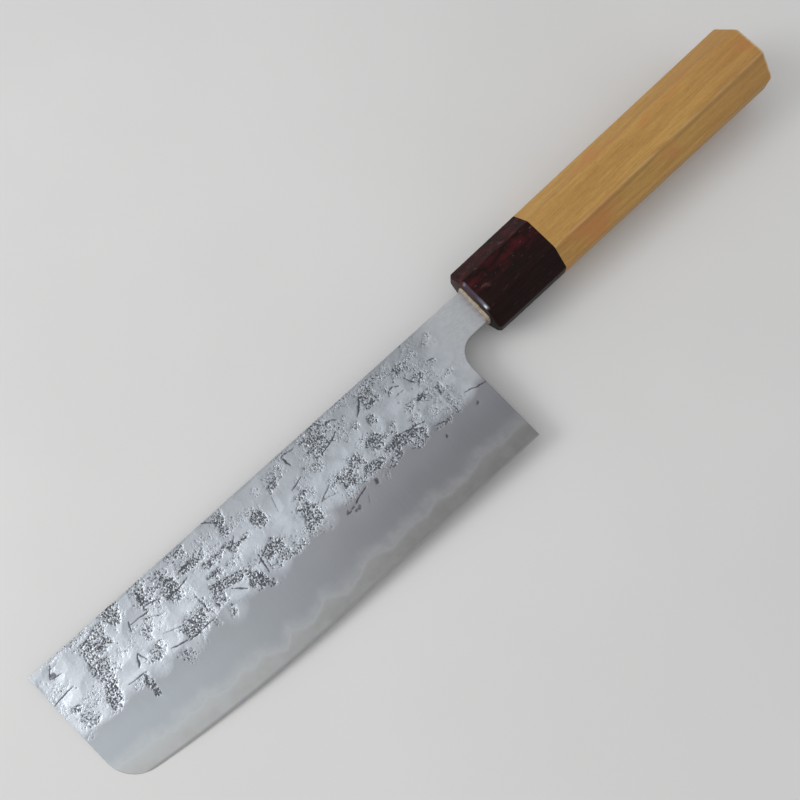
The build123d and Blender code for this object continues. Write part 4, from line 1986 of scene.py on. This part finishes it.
@dataclass
class Handle:
    """The octagonal handle, with the pieces inside it."""

    place: BladePlace = BladePlace()
    shape: HandleShape = HandleShape()
    skin: float = 0.02
    forward: float = 0.5
    mouth_profile: Points = (
        (0.0, 1.02), (0.03, 0.94), (0.10, 0.84), (0.20, 0.72), (0.70, 0.22),
        (0.82, 0.12), (0.96, 0.05), (1.20, 0.02),
    )
    butt_radius: float = 1.5
    butt_steps: int = 7
    pocket: Hollow = Hollow(((-5.0, -0.55), (3.0, -0.55), (3.0, 13.35), (-5.0, 13.35)), 2.15)
    channel: Hollow = Hollow(((-4.9, 1.2), (-93.0, 1.2), (-93.0, 8.2), (-4.9, 11.2)), 2.1)
    in_ferrule: float = 12.15
    in_grip: float = 22.15
    past_joint: float = 1.0
    plain_from: float = 3.0
    ferrule_stations: int = 6
    grip_stations: int = 12

    def ferrule(self) -> bpy.types.Object:
        """Builds the ferrule, with its worn bevel, pocket, channel and bore.

        Returns:
            The piece.
        """
        shape, front = self.shape, self.shape.mouth_x - self.forward
        stations = [(front + run, inset) for run, inset in self.mouth_profile]
        plain = np.linspace(front + self.plain_from, shape.joint_x, self.ferrule_stations)
        # Builds the ferrule, with its rounded bevel, pocket, channel and bore.
        stations += [(x, self.skin) for x in plain]
        hollows = [
            self.pocket.mesh(self.place),
            self.channel.mesh(self.place),
            Bore(shape.joint_x - self.in_ferrule, shape.joint_x + self.past_joint).mesh(shape),
        ]
        return hollowed("ferrule_body", shape.body(stations), hollows)

    def grip(self) -> bpy.types.Object:
        """Builds the grip, with its rounded butt, bore and channel.

        Returns:
            The piece.
        """
        shape, radius = self.shape, self.butt_radius
        plain = np.linspace(shape.joint_x, shape.butt_x - self.plain_from, self.grip_stations)
        stations = [(x, self.skin) for x in plain]
        for turn in np.linspace(0, pi / 2, self.butt_steps):
            run = shape.butt_x - self.skin - radius * (1 - sin(turn))
            stations.append((run, self.skin + radius * (1 - cos(turn))))
        hollows = [
            Bore(shape.joint_x - self.past_joint, shape.joint_x + self.in_grip).mesh(shape),
            self.channel.mesh(self.place),
        ]
        return hollowed("grip_body", shape.body(stations), hollows)

    def build(self) -> None:
        """Builds the ferrule, the grip and the bead, and dresses the CAD bodies inside them."""
        put_in_place(self.ferrule(), "ferrule", FERRULE_WOOD.material())
        put_in_place(self.grip(), "grip", GRIP_WOOD.material())
        MouthBead().build()
        for node, finish in (("dowel", DOWEL_WOOD), ("tang_bedding", BEDDING_RESIN)):
            material = finish.material()
            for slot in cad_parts[node].material_slots:
                slot.material = material
            LOG.info("%s: dressed", node)


# ---- The studio ----


@dataclass(frozen=True)
class Softbox:
    """A soft lamp, with its sizes and place in metres."""

    name: str
    size: tuple[float, float]
    place: Triple
    aim: Triple
    radiance: float

    def build(self) -> None:
        """Hangs the lamp and turns it to where it aims."""
        lamp = bpy.data.lights.new(self.name, "AREA")
        lamp.shape = "RECTANGLE"
        lamp.size, lamp.size_y = self.size
        lamp.energy = self.radiance * pi * self.size[0] * self.size[1]
        holder = linked(self.name, lamp)
        holder.location = self.place
        towards = Vector(self.aim) - Vector(self.place)
        holder.rotation_euler = towards.to_track_quat("-Z", "Y").to_euler()


@dataclass(frozen=True)
class Studio:
    """Pale floor, soft lamps and the camera, at the photograph's viewing angle."""

    contacts: tuple[Triple, ...] = ((30.4, 9.7, 1.5), (-149.5, 24.5, 9.15), (-137.0, -21.7, 10.0))
    floor_radius: float = 1.6
    floor_sides: int = 96
    world: Colour = (0.50, 0.50, 0.505)
    lamps: tuple[Softbox, ...] = (
        Softbox("overhead", (1.3, 1.0), (-0.42, 0.28, 0.95), (-0.05, 0.0, 0.0), 0.55),
        Softbox("key", (0.55, 0.4), (-0.68, 0.46, 0.62), (-0.05, 0.0, 0.0), 5.0),
        Softbox("fill", (0.5, 0.5), (0.60, -0.40, 0.60), (0.0, 0.0, 0.0), 0.35),
    )
    camera_place: Triple = (-27.317, -39.433, 270.957)
    camera_turn: Triple = (10.45466, 4.34868, -42.87527)
    lens: float = 38.271
    sensor_width: float = 36.0
    clip: tuple[float, float] = (0.01, 20.0)

    def floor(self) -> None:
        """Lays the floor under the three points on which the knife rests."""
        a, b, c = (Vector(point) * MM for point in self.contacts)
        up = (b - a).cross(c - a).normalized()
        up = up if up.z > 0 else -up
        mesh = bpy.data.meshes.new("floor")
        shape = bmesh.new()
        bmesh.ops.create_circle(
            shape, cap_ends=True, segments=self.floor_sides, radius=self.floor_radius
        )
        shape.to_mesh(mesh)
        shape.free()
        floor = linked("floor", mesh)
        floor.location = (a + b + c) / 3
        floor.rotation_euler = up.to_track_quat("Z", "Y").to_euler()
        mesh.materials.append(FloorPaper().material())
        floor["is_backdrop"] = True

    def light(self) -> None:
        """Sets the world's plain light and hangs the lamps."""
        world = bpy.data.worlds.new("studio")
        bpy.context.scene.world = world
        world.use_nodes = True
        world.node_tree.nodes["Background"].inputs["Color"].default_value = (*self.world, 1.0)
        for lamp in self.lamps:
            lamp.build()

    def camera(self) -> None:
        """Places the camera."""
        camera = bpy.data.cameras.new("camera")
        camera.lens, camera.sensor_width = self.lens, self.sensor_width
        camera.clip_start, camera.clip_end = self.clip
        holder = linked("camera", camera)
        holder.location = Vector(self.camera_place) * MM
        holder.rotation_euler = [radians(turn) for turn in self.camera_turn]
        bpy.context.scene.camera = holder

    def build(self) -> None:
        """Builds the whole studio."""
        bpy.context.scene.view_settings.view_transform = "Standard"
        self.floor()
        self.light()
        self.camera()


def write_size() -> None:
    """Gathers the CAD model's box and the dressed model's into plain lists.
    """
    boxes = {"cad": CAD_BOX, "visual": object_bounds()}
    plain = {
        key: [[float(value) for value in corner] for corner in box] for key, box in boxes.items()
    }


def main() -> None:
    """Builds the knife and the studio, in order."""
    logging.basicConfig(level=logging.INFO, format="%(name)s %(message)s")
    Studio().build()
    Blade().build()
    Handle().build()
    write_size()


if __name__ == "__main__":
    main()
